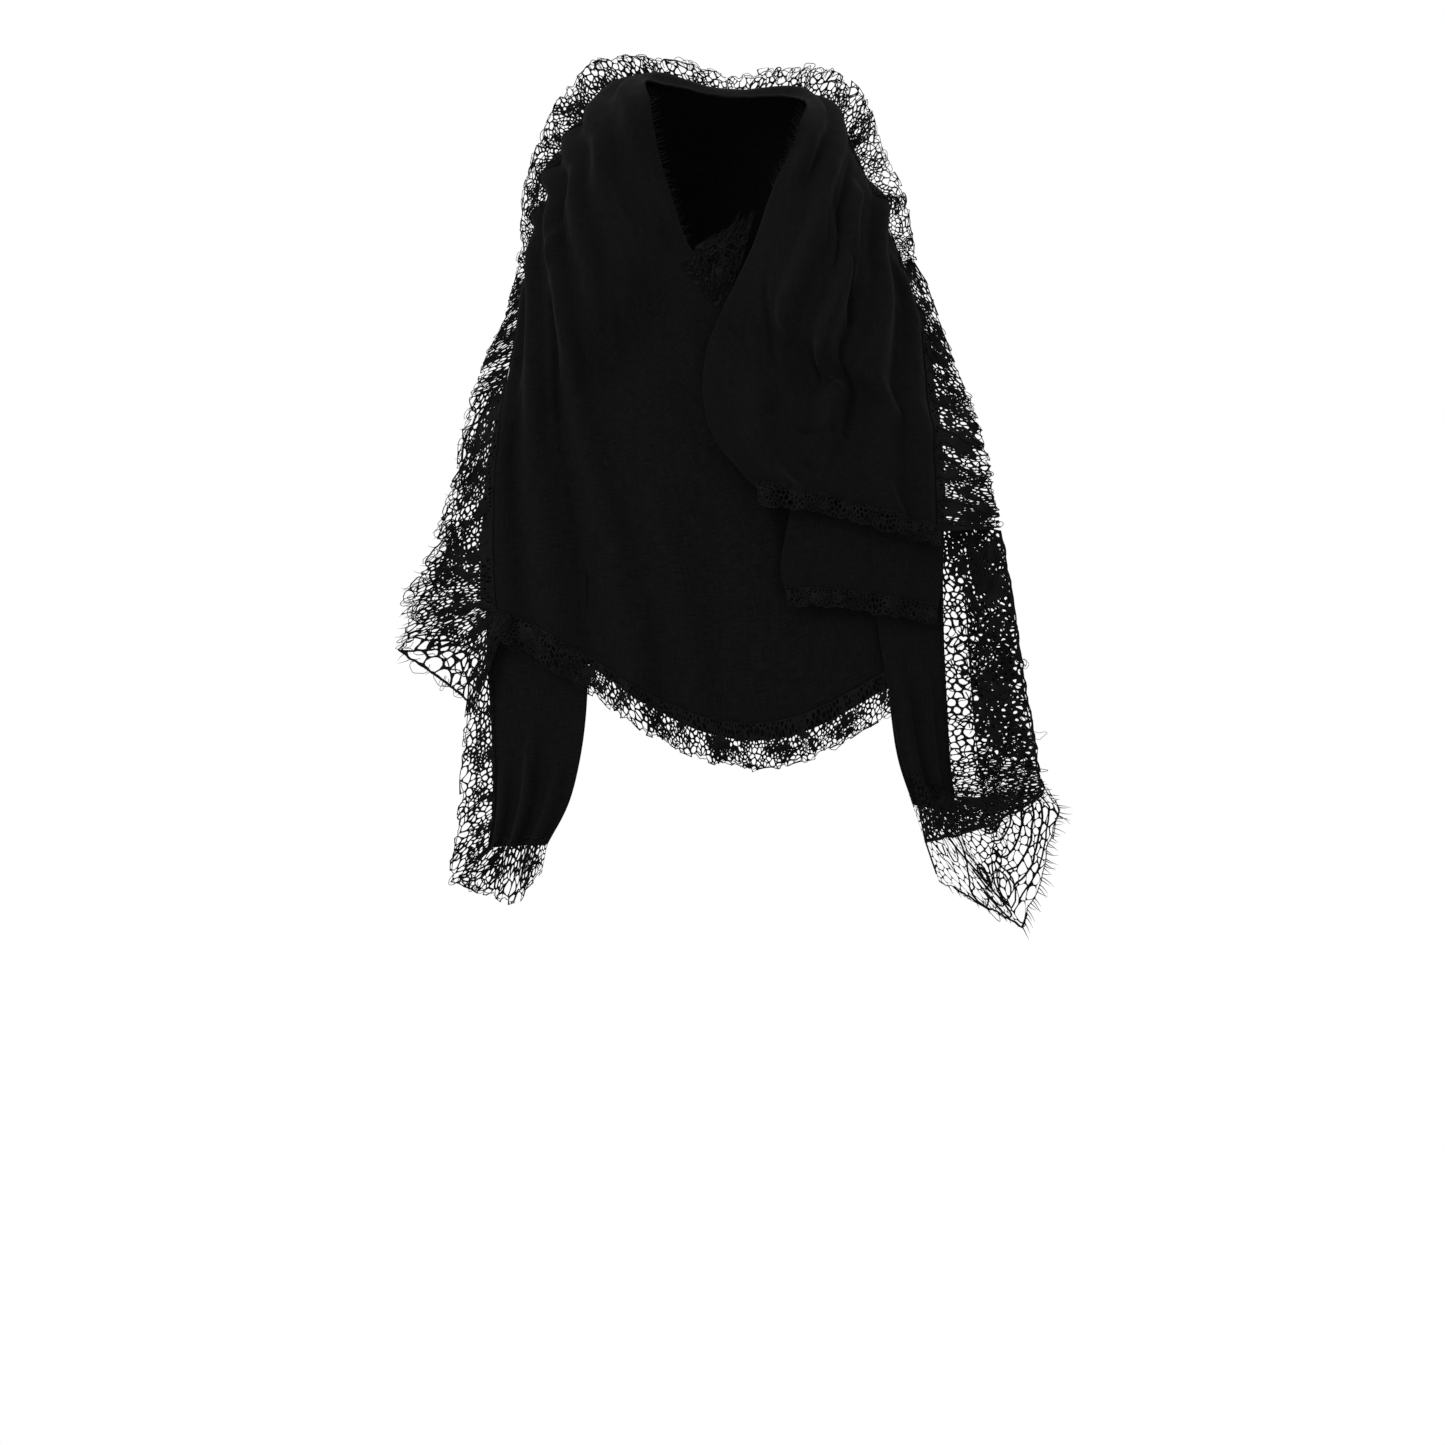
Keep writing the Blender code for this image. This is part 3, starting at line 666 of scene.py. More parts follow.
def netMesh(plan, lay, lines):
    # cords between the cells, with rounded gaps; some small cells are filled
    net = bmesh.new()
    corners = {}
    flatArea = 0.0
    dice = random.Random(plan["seed"] + 70)

    def corner(x, y):
        key = (round(x, 1), round(y, 1))
        if key not in corners:
            corners[key] = net.verts.new(placed(lay(x, y)))
        return corners[key]

    for cell in netCells(plan, lines):
        size = len(cell)
        cx = sum(p[0] for p in cell) / size
        cy = sum(p[1] for p in cell) / size
        if cy > freeEdge(plan, cx):
            continue
        outer = []
        for x, y in cell:
            vert = corner(x, y)
            if vert not in outer:
                outer.append(vert)
        if len(outer) != size:
            continue
        inner = 1e9
        area = 0.0
        for i in range(size):
            (ax, ay), (bx, by) = cell[i], cell[(i + 1) % size]
            long = math.hypot(bx - ax, by - ay)
            twice = abs((bx - ax) * (cy - ay) - (by - ay) * (cx - ax))
            inner = min(inner, twice / max(long, 1e-6))
            area += (ax * by - bx * ay) * 0.5
        over = min(max(cy / plan["width"], 0.0), 1.0)
        cord = plan["cord"] + (plan["cordFar"] - plan["cord"]) * over
        thick = noise.noise(Vector((cx / 8.0, cy / 8.0, plan["seed"] + 5.0)))
        cord *= max(1 + 0.7 * thick + dice.uniform(-0.25, 0.35), 0.45)
        near, far = plan["closed"]
        closed = (near + (far - near) * over) * (1 + 2.2 * thick)
        for mx, my, reach, share in plan["motifs"]:
            if share < 1 and math.hypot(cx - mx, cy - my) < reach:
                cord *= motifShape["cord"]
                closed += motifShape["closed"]
        shrink = 1 - cord * 0.5 / max(inner, 1e-6)
        filled = shrink < netShape["leastHole"]
        if filled or (dice.random() < closed and abs(area) < netShape["filledUnder"]):
            net.faces.new(outer)
            flatArea += abs(area)
            continue
        flatArea += abs(area) * (1 - 0.93 * shrink * shrink)
        slip = netShape["slip"] * cord
        hx, hy = cx + dice.uniform(-slip, slip), cy + dice.uniform(-slip, slip)
        hole = [(hx + (x - cx) * shrink, hy + (y - cy) * shrink) for x, y in cell]
        if abs(area) < netShape["roundedFrom"]:
            ring = [net.verts.new(placed(lay(x, y))) for x, y in hole]
            for i in range(size):
                net.faces.new((outer[i], outer[(i + 1) % size], ring[(i + 1) % size], ring[i]))
            continue
        one, two = [], []
        q = netShape["round"]
        for i in range(size):
            (px, py), (x, y), (nx, ny) = hole[i - 1], hole[i], hole[(i + 1) % size]
            one.append(net.verts.new(placed(lay(x + (px - x) * q, y + (py - y) * q))))
            two.append(net.verts.new(placed(lay(x + (nx - x) * q, y + (ny - y) * q))))
        for i in range(size):
            j = (i + 1) % size
            net.faces.new((outer[i], outer[j], one[j], two[i]))
            net.faces.new((outer[i], two[i], one[i]))
    return net, flatArea


def sewnOn(surface, first, last, end, hem=1.0, sewn=1.15):
    # root of a border: down the outer side of a stretch to its end row, then along its hem
    def root(along, inward=0.0):
        place = first + (last - first) * along
        if place <= end:
            return surface(place, 1.0 - inward / body["acrossLength"], sewn)
        past = (place - end) / (last - end)
        corner = inward / body["rowLength"]
        side = inward / body["acrossLength"] * max(1 - past * 6, 0.0)
        return surface(end - corner * min(past * 6, 1.0), 1.0 - max(past * hem, side), sewn)

    return root


def edgeTable(rows):
    first, last = rows[0][0], rows[-1][0]

    def tip(along):
        place = first + (last - first) * along
        for one, two in zip(rows, rows[1:]):
            if place <= two[0]:
                part = max((place - one[0]) / (two[0] - one[0]), 0.0)
                return Vector(one[1:]).lerp(Vector(two[1:]), part)
        return Vector(rows[-1][1:])

    return tip


def straightDown(root, width, out=2.0):
    def tip(along):
        start = root(along)
        return start + Vector((0, -out if start.y < 0 else out, -width))

    return tip


def laidBorder(plan, root, tip):
    # table of stations along the border, from under the seam to the free edge
    stations = 150
    table = []
    for k in range(stations + 1):
        along = k / stations
        start, end = root(along), tip(along)
        under = root(along, plan["overlap"])
        across = (end - start).normalized()
        ahead = root(min(along + 0.01, 1.0)) - root(max(along - 0.01, 0.0))
        up = ahead.cross(across).normalized()
        if up.dot(Vector((start.x * 0.4, start.y, 0))) < 0:
            up = -up
        table.append((under, start, end, up))

    def lay(x, y, lift=0.0):
        if y > 0:
            sway = plan["sway"] * min(y / 6.0, 1.0) * min(x / 6.0, (plan["length"] - x) / 6.0, 1.0)
            x, y = (
                x + sway * noise.noise(Vector((x / 5.0, y / 5.0, plan["seed"] + 1.0))),
                y + sway * noise.noise(Vector((x / 5.0, y / 5.0, plan["seed"] + 9.0))),
            )
        place = min(max(x / plan["length"], 0.0), 1.0) * stations
        first = min(int(place), stations - 1)
        part = place - first
        one, two = table[first], table[first + 1]
        under, start, end, up = (one[i].lerp(two[i], part) for i in range(4))
        over = y / plan["width"]
        if over < 0:
            return start.lerp(under, -y / plan["overlap"]) + up * lift
        along = x / plan["length"]
        if plan["scallops"]:
            over *= 1 - plan["deep"] * (1 - abs(math.sin(math.pi * plan["scallops"] * along)))
        torn = noise.noise(Vector((x / 11.0, 3.3, plan["seed"])))
        over *= 1 - plan["ragged"] * over * (0.5 + 0.5 * torn)
        wave = plan["ruffle"] * over * math.sin(2 * math.pi * plan["waves"] * along)
        wind = noise.noise(Vector((x / 17.0, y / 22.0, plan["seed"] * 2.0)))
        wave += plan["flutter"] * over * wind
        return start.lerp(end, over) + up * (wave + lift)

    return lay


def cordTube(mesh, points, ups, radius, sides=4, taper=False):
    # one closed cord through the points
    rings = []
    count = len(points)
    for i, point in enumerate(points):
        ahead = points[min(i + 1, count - 1)] - points[max(i - 1, 0)]
        if ahead.length < 1e-6:
            return
        ahead.normalize()
        side = ahead.cross(ups[i]).normalized()
        up = side.cross(ahead).normalized()
        wide = radius * (1 - 0.8 * i / (count - 1)) if taper else radius
        ring = []
        for k in range(sides):
            angle = 2 * math.pi * (k + 0.5) / sides
            offset = side * math.cos(angle) + up * math.sin(angle)
            ring.append(mesh.verts.new(placed(point + offset * wide)))
        rings.append(ring)
    for one, two in zip(rings, rings[1:]):
        for k in range(sides):
            j = (k + 1) % sides
            mesh.faces.new((one[k], one[j], two[j], two[k]))
    mesh.faces.new(list(reversed(rings[0])))
    mesh.faces.new(rings[-1])


def meshPiece(name, mesh, finish):
    data = bpy.data.meshes.new(name)
    bmesh.ops.recalc_face_normals(mesh, faces=mesh.faces)
    mesh.to_mesh(data)
    mesh.free()
    data.materials.append(finish)
    piece = bpy.data.objects.new(name, data)
    bpy.context.scene.collection.objects.link(piece)
    return piece


def layCord(mesh, plan, lay, line, width, lift=0.55):
    points, ups = [], []
    for p in line:
        x = min(max(p.x, 0.0), plan["length"])
        y = min(max(p.y, -plan["overlap"]), plan["width"] * 1.15)
        on = lay(x, y)
        points.append(lay(x, y, lift))
        up = points[-1] - on
        ups.append(up.normalized() if up.length > 1e-6 else Vector((0, -1, 0)))
    cordTube(mesh, points, ups, width * 0.5)


# what a curl and a loose thread may be, in millimetres, shares of the width and radians
curlShape = {"out": (0.04, 0.15), "wide": (1.5, 4.5), "thick": (0.4, 0.7)}
threadShape = {"step": 1.7, "turn": 0.7, "steps": (8, 18), "thick": (0.5, 1.1), "lift": (0.2, 0.7)}


def vineCords(name, plan, lay, lines):
    # thick cords on the net: its edge, the stems and the petals, then curls and loose threads
    mesh = bmesh.new()
    length, width = plan["length"], plan["width"]
    steps = max(int(length / 1.8), 8)
    places = [length * i / steps for i in range(steps + 1)]
    layCord(mesh, plan, lay, [Vector((x, freeEdge(plan, x))) for x in places], plan["edgeCord"], 0.0)
    for first, last, thick in plan["hemCords"]:
        places = [length * (first + (last - first) * i / 40) for i in range(41)]
        hem = [Vector((x, freeEdge(plan, x) - 0.5)) for x in places]
        layCord(mesh, plan, lay, hem, thick, 0.0)
    for line, thick in lines:
        layCord(mesh, plan, lay, line, thick)
    dice = random.Random(plan["seed"] + 200)
    for _ in range(plan["curls"]):
        x = dice.uniform(0.02, 0.98) * length
        out, wide = dice.uniform(*curlShape["out"]) * width, dice.uniform(*curlShape["wide"])
        rim = freeEdge(plan, x)
        curl = (
            (x - wide, rim - 4.0), (x - wide * 0.9, rim + out * 0.4), (x, rim + out),
            (x + wide, rim + out * 0.3), (x + wide * 0.6, rim - 3.5),
        )
        layCord(mesh, plan, lay, flatCurve(curl, 5), dice.uniform(*curlShape["thick"]), 0.0)
    for _ in range(plan["threads"]):
        x, y = dice.uniform(0, length), dice.uniform(0.05, 0.8) * width
        heading = dice.uniform(0, 2 * math.pi)
        line = [Vector((x, y))]
        for _ in range(dice.randint(*threadShape["steps"])):
            heading += dice.uniform(-threadShape["turn"], threadShape["turn"])
            x += threadShape["step"] * math.cos(heading)
            y += threadShape["step"] * math.sin(heading)
            if not (0 < x < length and 0 < y < freeEdge(plan, x) + 1.5):
                break
            line.append(Vector((x, y)))
        if len(line) > 3:
            thick, lift = dice.uniform(*threadShape["thick"]), dice.uniform(*threadShape["lift"])
            layCord(mesh, plan, lay, line, thick, lift)
    piece = meshPiece(name, mesh, laceYarn)
    selectOnly(piece)
    bpy.ops.object.shade_smooth()
    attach(piece, "root")
    return piece


# share of a lash's length that it reaches, and how far it leans along the edge and off the cloth
lashShape = {"reach": (0.55, 1.1), "lean": (-0.45, 0.45), "lift": (-0.25, 0.35), "points": 5}


def lashFringe(lash, plan, lay):
    # single tapered threads that stand out from the free edge; a run is first, last, gap and length
    mesh = bmesh.new()
    dice = random.Random(plan["seed"] + 90)
    for first, last, gap, long in lash["runs"]:
        start, stop = first * plan["length"], last * plan["length"]
        count = max(int((stop - start) / gap), 1)
        for i in range(count):
            x = start + (stop - start) * (i + dice.uniform(0.2, 0.8)) / count
            rim = freeEdge(plan, x)
            root = lay(x, rim - 0.3)
            before = lay(x, rim - 2.3)
            out = (root - before).normalized()
            along = lay(min(x + 1.0, plan["length"]), rim - 0.3) - root
            along = along.normalized() if along.length > 1e-6 else Vector((0, 0, -1))
            up = along.cross(out).normalized()
            reach = long * dice.uniform(*lashShape["reach"])
            lean = dice.uniform(*lashShape["lean"])
            lift = dice.uniform(*lashShape["lift"])
            points = []
            for k in range(lashShape["points"]):
                t = k / (lashShape["points"] - 1)
                bend = t * t
                points.append(root + (out * t + along * lean * bend + up * lift * bend) * reach)
            cordTube(mesh, points, [up] * len(points), lash["thread"] * 0.5, 3, True)
    piece = meshPiece(lash["name"], mesh, fringeYarn)
    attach(piece, "root")
    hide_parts(lash["node"])
    return piece


def closeBand(band, plan, lay):
    # close cords side by side; each is its share of the width and its thickness
    mesh = bmesh.new()
    for share, thick in band["cords"]:
        line = []
        for i in range(41):
            out = plan["width"] * (share + 0.03 * math.sin(i * 0.5))
            line.append(Vector((plan["length"] * i / 40, out)))
        layCord(mesh, plan, lay, line, thick)
    piece = meshPiece(band["name"], mesh, laceYarn)
    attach(piece, "root")
    return piece


def makeLace(name, plan, root, tip, node, lashes=None, band=None):
    # the net from its root to its tip, with its trims and cords
    lay = laidBorder(plan, root, tip)
    if lashes:
        lashFringe(lashes, plan, lay)
    if band:
        closeBand(band, plan, lay)
    lines = motifLines(plan)
    net, flatArea = netMesh(plan, lay, lines)
    piece = meshPiece(name, net, laceYarn)
    thicken(piece, plan["wall"])
    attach(piece, "root")
    if node:
        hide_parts(node)
    cords = vineCords(name + "Cords", plan, lay, lines)


def lacePlan(**changes):
    # what every border shares, before its own changes. Motifs: x, y, reach, share of the gap.
    # Petals: x, y, reach, turn, rings. Arcs: first x, last x, y, bend, thickness.
    plan = {
        "overlap": 7.0, "wall": 0.5,
        # cells: gap by the cloth and at the free edge, the least one, and how they are squeezed
        "near": 2.0, "far": 4.6, "open": 1.4, "least": 1.25, "squeeze": 0.8, "mix": 0.8,
        "cord": 0.9, "cordFar": 0.65, "closed": (0.30, 0.02), "motifGap": 0.62, "motifReach": 4.5,
        # free edge
        "bite": 0.18, "evenFrom": 2.0, "ragged": 0.10, "scallops": 0, "deep": 0.0,
        "ruffle": 0.0, "waves": 0, "flutter": 2.0, "sway": 1.6,
        # cords on the net
        "edgeCord": 0.7, "hemCords": (), "stems": 6, "stemCord": 1.1, "petals": (), "petalCord": 0.8,
        "motifs": (), "arcs": (), "curls": 8, "threads": 14,
    }
    plan.update(changes)
    return plan


# Gauze
wrapCloth = {"rows": 330, "columns": 88, "wall": 0.9, "flat": (240, 805), "held": "draped"}


def wholeWrap(along, over):
    # from the left hem round the back of the neck to the right hem
    return eitherSide((along - 0.5) * 2 * lastRow, over)


makeCloth(
    "shawlWrap", wrapCloth, wholeWrap,
    ["wrap_back", "left_shoulder", "left_drape", "right_shoulder", "right_drape"],
)

rightFoldCloth = {"rows": 40, "columns": 44, "wall": 0.9, "flat": (100, 94), "held": "hung"}
makeCloth("rightFold", rightFoldCloth, partOf(leafCloth, 0, 3), ["right_fold"])

rightSideCloth = {"rows": 60, "columns": 28, "wall": 0.9, "flat": (48, 176), "held": "hung"}
makeCloth("rightSide", rightSideCloth, partOf(hangCloth, 0, 4), ["right_side"])

leftTailCloth = {"rows": 60, "columns": 34, "wall": 0.9, "flat": (66, 188), "held": "hung"}
makeCloth("leftTail", leftTailCloth, partOf(leftUnderCloth, 0, 4), ["left_tail"])

rightTailCloth = {"rows": 30, "columns": 18, "wall": 0.9, "flat": (34, 73), "held": "hung"}
makeCloth("rightTail", rightTailCloth, partOf(rightUnderCloth, 0, 2), ["right_tail"])

backFallCloth = {
    "rows": 160, "columns": 48, "wall": 0.9, "flat": (165, 420), "area": 0.0535, "held": "hung",
}
makeCloth("backFall", backFallCloth, backFall, ["back_fall"])
print("gauze laid")

# Lace that stands round the roll. Columns: row of the roll, place across, width
collarLace = {
    "left": (
        (0.005, 0.42, 20), (0.4, 0.40, 27), (0.8, 0.38, 30), (1.3, 0.38, 28), (1.8, 0.46, 20),
        (2.1, 0.62, 15), (2.4, 0.84, 11), (2.75, 0.97, 9),
    ),
    "right": (
        (0.005, 0.42, 20), (0.4, 0.40, 28), (0.8, 0.38, 31), (1.3, 0.42, 27), (1.8, 0.50, 21),
        (2.1, 0.66, 18), (2.4, 0.86, 14), (2.75, 0.97, 11),
    ),
}


def collarLines(surface, table):
    rows = [Vector(row) for row in table]

    def setting(along):
        place = along * (len(rows) - 1)
        first = min(int(place), len(rows) - 2)
        part = place - first
        now, after = rows[first], rows[first + 1]
        before = rows[first - 1] if first else now * 2 - after
        later = rows[first + 2] if first + 2 < len(rows) else after * 2 - now
        return smoothBetween(before, now, after, later, part)

    def root(along, inward=0.0):
        row, across, _ = setting(along)
        return surface(row, across - inward / body["acrossLength"], 0.9 + 0.6 * along)

    def tip(along):
        reach = min(along, 1 - along, 0.06)
        around = (root(along + reach * step) for step in (-1.0, -0.5, 0.0, 0.5, 1.0))
        start = sum(around, Vector()) / 5
        away = Vector((start.x, 0.25 * abs(start.x) - 5, start.z + 8)).normalized()
        return start + away * setting(along)[2]

    return root, tip


# The right collar's net is the more open one
collarNet = {
    "left": {
        "far": 3.9, "cord": 0.8, "cordFar": 0.6, "closed": (0.2, 0.04), "bite": 0.12, "seed": 3,
    },
    "right": {
        "far": 5.2, "cord": 0.65, "cordFar": 0.5, "closed": (0.08, 0.0), "bite": 0.2, "seed": 8,
    },
}
for side, surface in (("left", leftCloth), ("right", rightCloth)):
    plan = lacePlan(
        length=250, width=26, overlap=5.0, near=1.9, open=0.9, ragged=0.05, flutter=2.2,
        stems=14, stemCord=0.9, curls=26, threads=26, **collarNet[side],
        motifs=((60, 9, 9, 0.55), (128, 8, 10, 0.6), (196, 10, 9, 0.55)),
        petals=tuple((20 + 35 * i, 13 + 4 * (i % 2), 7.5, 1.2 + 0.7 * i, 2) for i in range(7)),
    )
    root, tip = collarLines(surface, collarLace[side])
    makeLace(side + "CollarLace", plan, root, tip, "collar_lace_" + side)
print("collar lace laid")

# Lace down the left side. Columns of the free edges: place, tip x, tip y, tip z
leftEdges = {
    "shoulder": (
        (2.6, -138, -8, 2), (2.95, -142, -14, -20), (4, -148, -36, -46), (5, -161, -50, -72),
        (5.92, -170, -61, -98),
    ),
    "side": (
        (5.93, -171, -61, -98), (7, -177, -74, -134), (8, -185, -84, -163), (9, -194, -86, -192),
        (10, -207, -86, -216), (11, -218, -86, -240), (12, -221, -86, -263), (13, -189, -94, -285),
        (13.8, -167, -98, -304),
    ),
    "tail": (
        (1, -172, -76, -285), (2, -175, -76, -329), (3, -179, -76, -372), (4, -185, -76, -417),
        (4.7, -158, -80, -430), (5.3, -141, -84, -436), (6, -122, -88, -412),
    ),
}
leftShoulderPlan = lacePlan(
    length=142, width=14, near=1.7, far=2.9, seed=11, stems=7, stemCord=0.9, flutter=1.0,
    closed=(0.5, 0.2), curls=16,
)
makeLace(
    "leftShoulderLace", leftShoulderPlan, sewnOn(leftCloth, 2.6, 5.92, lastRow),
    edgeTable(leftEdges["shoulder"]), "left_shoulder_lace",
)
leftSidePlan = lacePlan(
    length=225, width=46, near=1.9, far=6.4, open=2.0, cord=1.45, cordFar=0.75, seed=21,
    ruffle=2.5, waves=3, flutter=4.0, ragged=0.05, bite=0.26, evenFrom=0.77,
    hemCords=((0.79, 0.97, 2.0),), stems=10, closed=(0.46, 0.05), curls=30, threads=70,
    motifs=((58, 16, 13, 0.6), (112, 20, 16, 0.5), (160, 12, 12, 0.6), (20, 10, 12, 0.65)),
    petals=(
        (40, 28, 11, 0.6, 2), (88, 30, 13, 2.4, 2), (128, 34, 14, 1.1, 2), (152, 30, 12, 2.9, 2),
        (182, 26, 13, 0.2, 2), (70, 38, 8, 1.9, 1), (110, 24, 9, 0.1, 2),
    ),
)
leftLashes = {
    "name": "leftLashes", "node": "left_lashes", "thread": 0.7,
    "runs": ((0.05, 0.5, 7.0, 6), (0.5, 0.82, 3.6, 9), (0.82, 0.99, 6.0, 5)),
}
makeLace(
    "leftSideLace", leftSidePlan, sewnOn(leftCloth, 5.93, 13.8, lastRow, hem=0.07),
    edgeTable(leftEdges["side"]), "left_lace", leftLashes,
)


def leftHem(along, inward=0.0):
    return leftCloth(lastRow - inward / body["rowLength"], 0.955 - 0.92 * along, 1.6)


leftHemPlan = lacePlan(
    length=320, width=21, near=1.8, far=3.6, seed=31, scallops=12, deep=0.12, stems=14, flutter=2.0,
    motifs=tuple((25 + 50 * i, 9, 9, 0.6) for i in range(6)),
    petals=tuple((50 * i + 28, 11, 8, 0.7 * i, 2) for i in range(6)),
)
makeLace(
    "leftHemLace", leftHemPlan, leftHem, straightDown(leftHem, leftHemPlan["width"]),
    "hem_lace",
)
leftTailPlan = lacePlan(
    length=210, width=27, near=2.0, far=5.2, seed=41, stems=9, flutter=2.5, ragged=0.12,
    motifs=((50, 9, 12, 0.6), (120, 10, 12, 0.6)),
    petals=((80, 14, 10, 0.5, 2), (150, 15, 11, 2.2, 2), (190, 14, 9, 1.2, 2)),
)
makeLace(
    "leftTailLace", leftTailPlan, sewnOn(leftUnderCloth, 1, 6, 4, sewn=1.3),
    edgeTable(leftEdges["tail"]), "left_tail_lace",
)
print("left lace laid")

# Lace down the right side, in two layers
rightEdges = {
    "shoulder": (
        (2.6, 123, -4, -3), (2.95, 133, -14, -20), (4, 141, -36, -46), (5, 149, -50, -70),
        (7, 164, -78, -108), (8, 171, -90, -130), (9, 174, -94, -147), (10, 175, -96, -160),
        (11, 178, -96, -172), (12, 180, -98, -184),
    ),
    "side": (
        (0, 181, -90, -186), (1, 191, -88, -242), (2, 198, -88, -292), (3, 206, -88, -338),
        (4, 210, -95, -358), (5, 176, -106, -380), (6, 130, -111, -392),
    ),
    "tail": (
        (1, 206, -76, -346), (1.5, 221, -76, -369), (2, 212, -76, -410), (2.4, 197, -78, -450),
        (3, 175, -80, -438), (4, 140, -84, -418),
    ),
}
rightShoulderPlan = lacePlan(
    length=226, width=26, near=1.7, far=2.8, seed=51, stems=10, cord=1.0, cordFar=0.85,
    flutter=1.5, ragged=0.03, closed=(0.6, 0.3), bite=0.10, curls=14, threads=40,
    motifs=((60, 9, 11, 0.6), (130, 10, 12, 0.6), (196, 14, 18, 0.5), (216, 12, 18, 0.5)),
    petals=((95, 13, 9, 0.6, 2), (165, 14, 10, 2.0, 2)),
)
makeLace(
    "rightShoulderLace", rightShoulderPlan, sewnOn(rightCloth, 2.6, 12, lastRow),
    edgeTable(rightEdges["shoulder"]), "right_shoulder_lace",
)
rightSidePlan = lacePlan(
    length=230, width=50, near=2.15, far=2.3, open=0.6, cord=0.6, cordFar=1.0, squeeze=0.55, seed=61,
    ruffle=1.5, waves=3, ragged=0.03, stems=9, edgeCord=1.5, stemCord=1.2, mix=0.5, closed=(0.04, 0.14),
    bite=0.04, curls=6, threads=80, hemCords=((0.66, 0.98, 2.4),),
    motifs=(
        (6, 6, 24, 0.5), (12, 26, 22, 0.5), (35, 34, 15, 0.55), (84, 30, 17, 0.5),
        (121, 28, 18, 1.5), (146, 28, 16, 1.5),
    ),
    petals=(
        (20, 24, 11, 0.8, 2), (62, 30, 13, 2.2, 2), (106, 28, 13, 0.9, 2), (140, 30, 14, 2.6, 2),
        (172, 26, 13, 0.4, 3), (200, 28, 12, 1.7, 2),
    ),
)
rightSideRoot = sewnOn(hangCloth, 0, 6, 4, hem=0.9, sewn=1.5)
rightSideTip = edgeTable(rightEdges["side"])
makeLace("rightSideLace", rightSidePlan, rightSideRoot, rightSideTip, "right_lace")

# The lace hangs in two layers there; the hidden one is narrower and lies a little behind
underLayer = {"from": 0.36, "to": 0.97, "behind": 3.5}
underLacePlan = lacePlan(
    length=230, width=31, overlap=3.0, near=2.4, far=2.4, cord=1.0, cordFar=1.0, squeeze=0.5, seed=66,
    flutter=1.0, ragged=0.03, stems=8, mix=0.4, closed=(0.08, 0.08), bite=0.05, curls=0, threads=40,
    motifs=((122, 14, 20, 1.7), (150, 14, 18, 1.7)),
)


def underLacePoint(along, across):
    point = rightSideRoot(along).lerp(rightSideTip(along), across)
    return point + Vector((0, underLayer["behind"], 0))


def underLaceRoot(along, inward=0.0):
    return underLacePoint(along, underLayer["from"] - inward / rightSidePlan["width"])


def underLaceTip(along):
    return underLacePoint(along, underLayer["to"])


makeLace("rightUnderLace", underLacePlan, underLaceRoot, underLaceTip, "")


def rightHem(along, inward=0.0):
    return rightCloth(lastRow - inward / body["rowLength"], 0.985 - 0.97 * along, 1.15)


def foldHem(along, inward=0.0):
    return leafCloth(3 - inward / body["rowLength"], 0.99 - 0.98 * along, 1.15)


rightHemPlan = lacePlan(
    length=140, width=13, near=1.8, far=3.0, seed=71, scallops=8, deep=0.15, flutter=0.6,
    stems=7, stemCord=0.9,
)
makeLace(
    "rightHemLace", rightHemPlan, rightHem, straightDown(rightHem, rightHemPlan["width"]),
    "right_hem_lace",
)
rightFoldPlan = lacePlan(
    length=105, width=11, near=1.8, far=3.0, seed=81, scallops=6, deep=0.15, flutter=0.6,
    stems=5, stemCord=0.9,
)
makeLace(
    "rightFoldLace", rightFoldPlan, foldHem, straightDown(foldHem, rightFoldPlan["width"]),
    "right_fold_lace",
)

rightTailPlan = lacePlan(
    length=130, width=55, near=2.4, far=2.9, open=0.7, cord=0.46, cordFar=0.34, wall=0.3, seed=91,
    ragged=0.04, stems=5, edgeCord=0.9, stemCord=1.3, petalCord=1.2, closed=(0.04, 0.0), bite=0.06,
    curls=1, threads=14, sway=1.0, squeeze=1.0, motifGap=1.0, mix=0.45, hemCords=((0.44, 0.9, 1.8),),
    motifs=((48, 28, 6, 0.55), (36, 24, 4, 0.6), (104, 28, 34, 2.4), (62, 44, 12, 1.5)),
    petals=((57, 37, 9, 1.2, 2), (67, 30, 8, 0.7, 2), (38, 20, 7, 2.4, 2)),
    arcs=(
        (14, 56, 51, 4, 1.4), (13, 55, 47.5, 5, 1.8), (15, 52, 43, 6, 1.8), (15, 50, 37, 7, 1.8),
        (17, 46, 31, 8, 1.5), (20, 44, 26, 8, 1.5), (62, 84, 47, 9, 1.3), (66, 80, 40, 9, 1.3),
    ),
)
rightLashes = {
    "name": "rightTailLashes", "node": "right_tail_lashes", "thread": 0.95,
    "runs": ((0.03, 0.16, 2.4, 9), (0.16, 0.47, 1.1, 9), (0.47, 0.98, 8.0, 5)),
}
makeLace(
    "rightTailLace", rightTailPlan, sewnOn(rightUnderCloth, 1, 4, 2, sewn=-1.15),
    edgeTable(rightEdges["tail"]), "right_tail_lace", rightLashes,
)
print("right lace laid")


def backHem(along, inward=0.0):
    roundBack = 0.01 + 0.98 * along
    return backFall(roundBack, 1.0 - inward / 150, 1.4)


backHemPlan = lacePlan(
    length=420, width=24, near=2.3, far=4.8, seed=101, scallops=14, deep=0.12, stems=18, flutter=2.0,
    motifs=tuple((30 + 60 * i, 10, 10, 0.6) for i in range(7)),
    petals=tuple((60 * i + 30, 13, 8.5, 0.9 * i, 2) for i in range(7)),
)
makeLace(
    "backHemLace", backHemPlan, backHem, straightDown(backHem, backHemPlan["width"]),
    "back_hem_lace",
)
print("back lace laid")

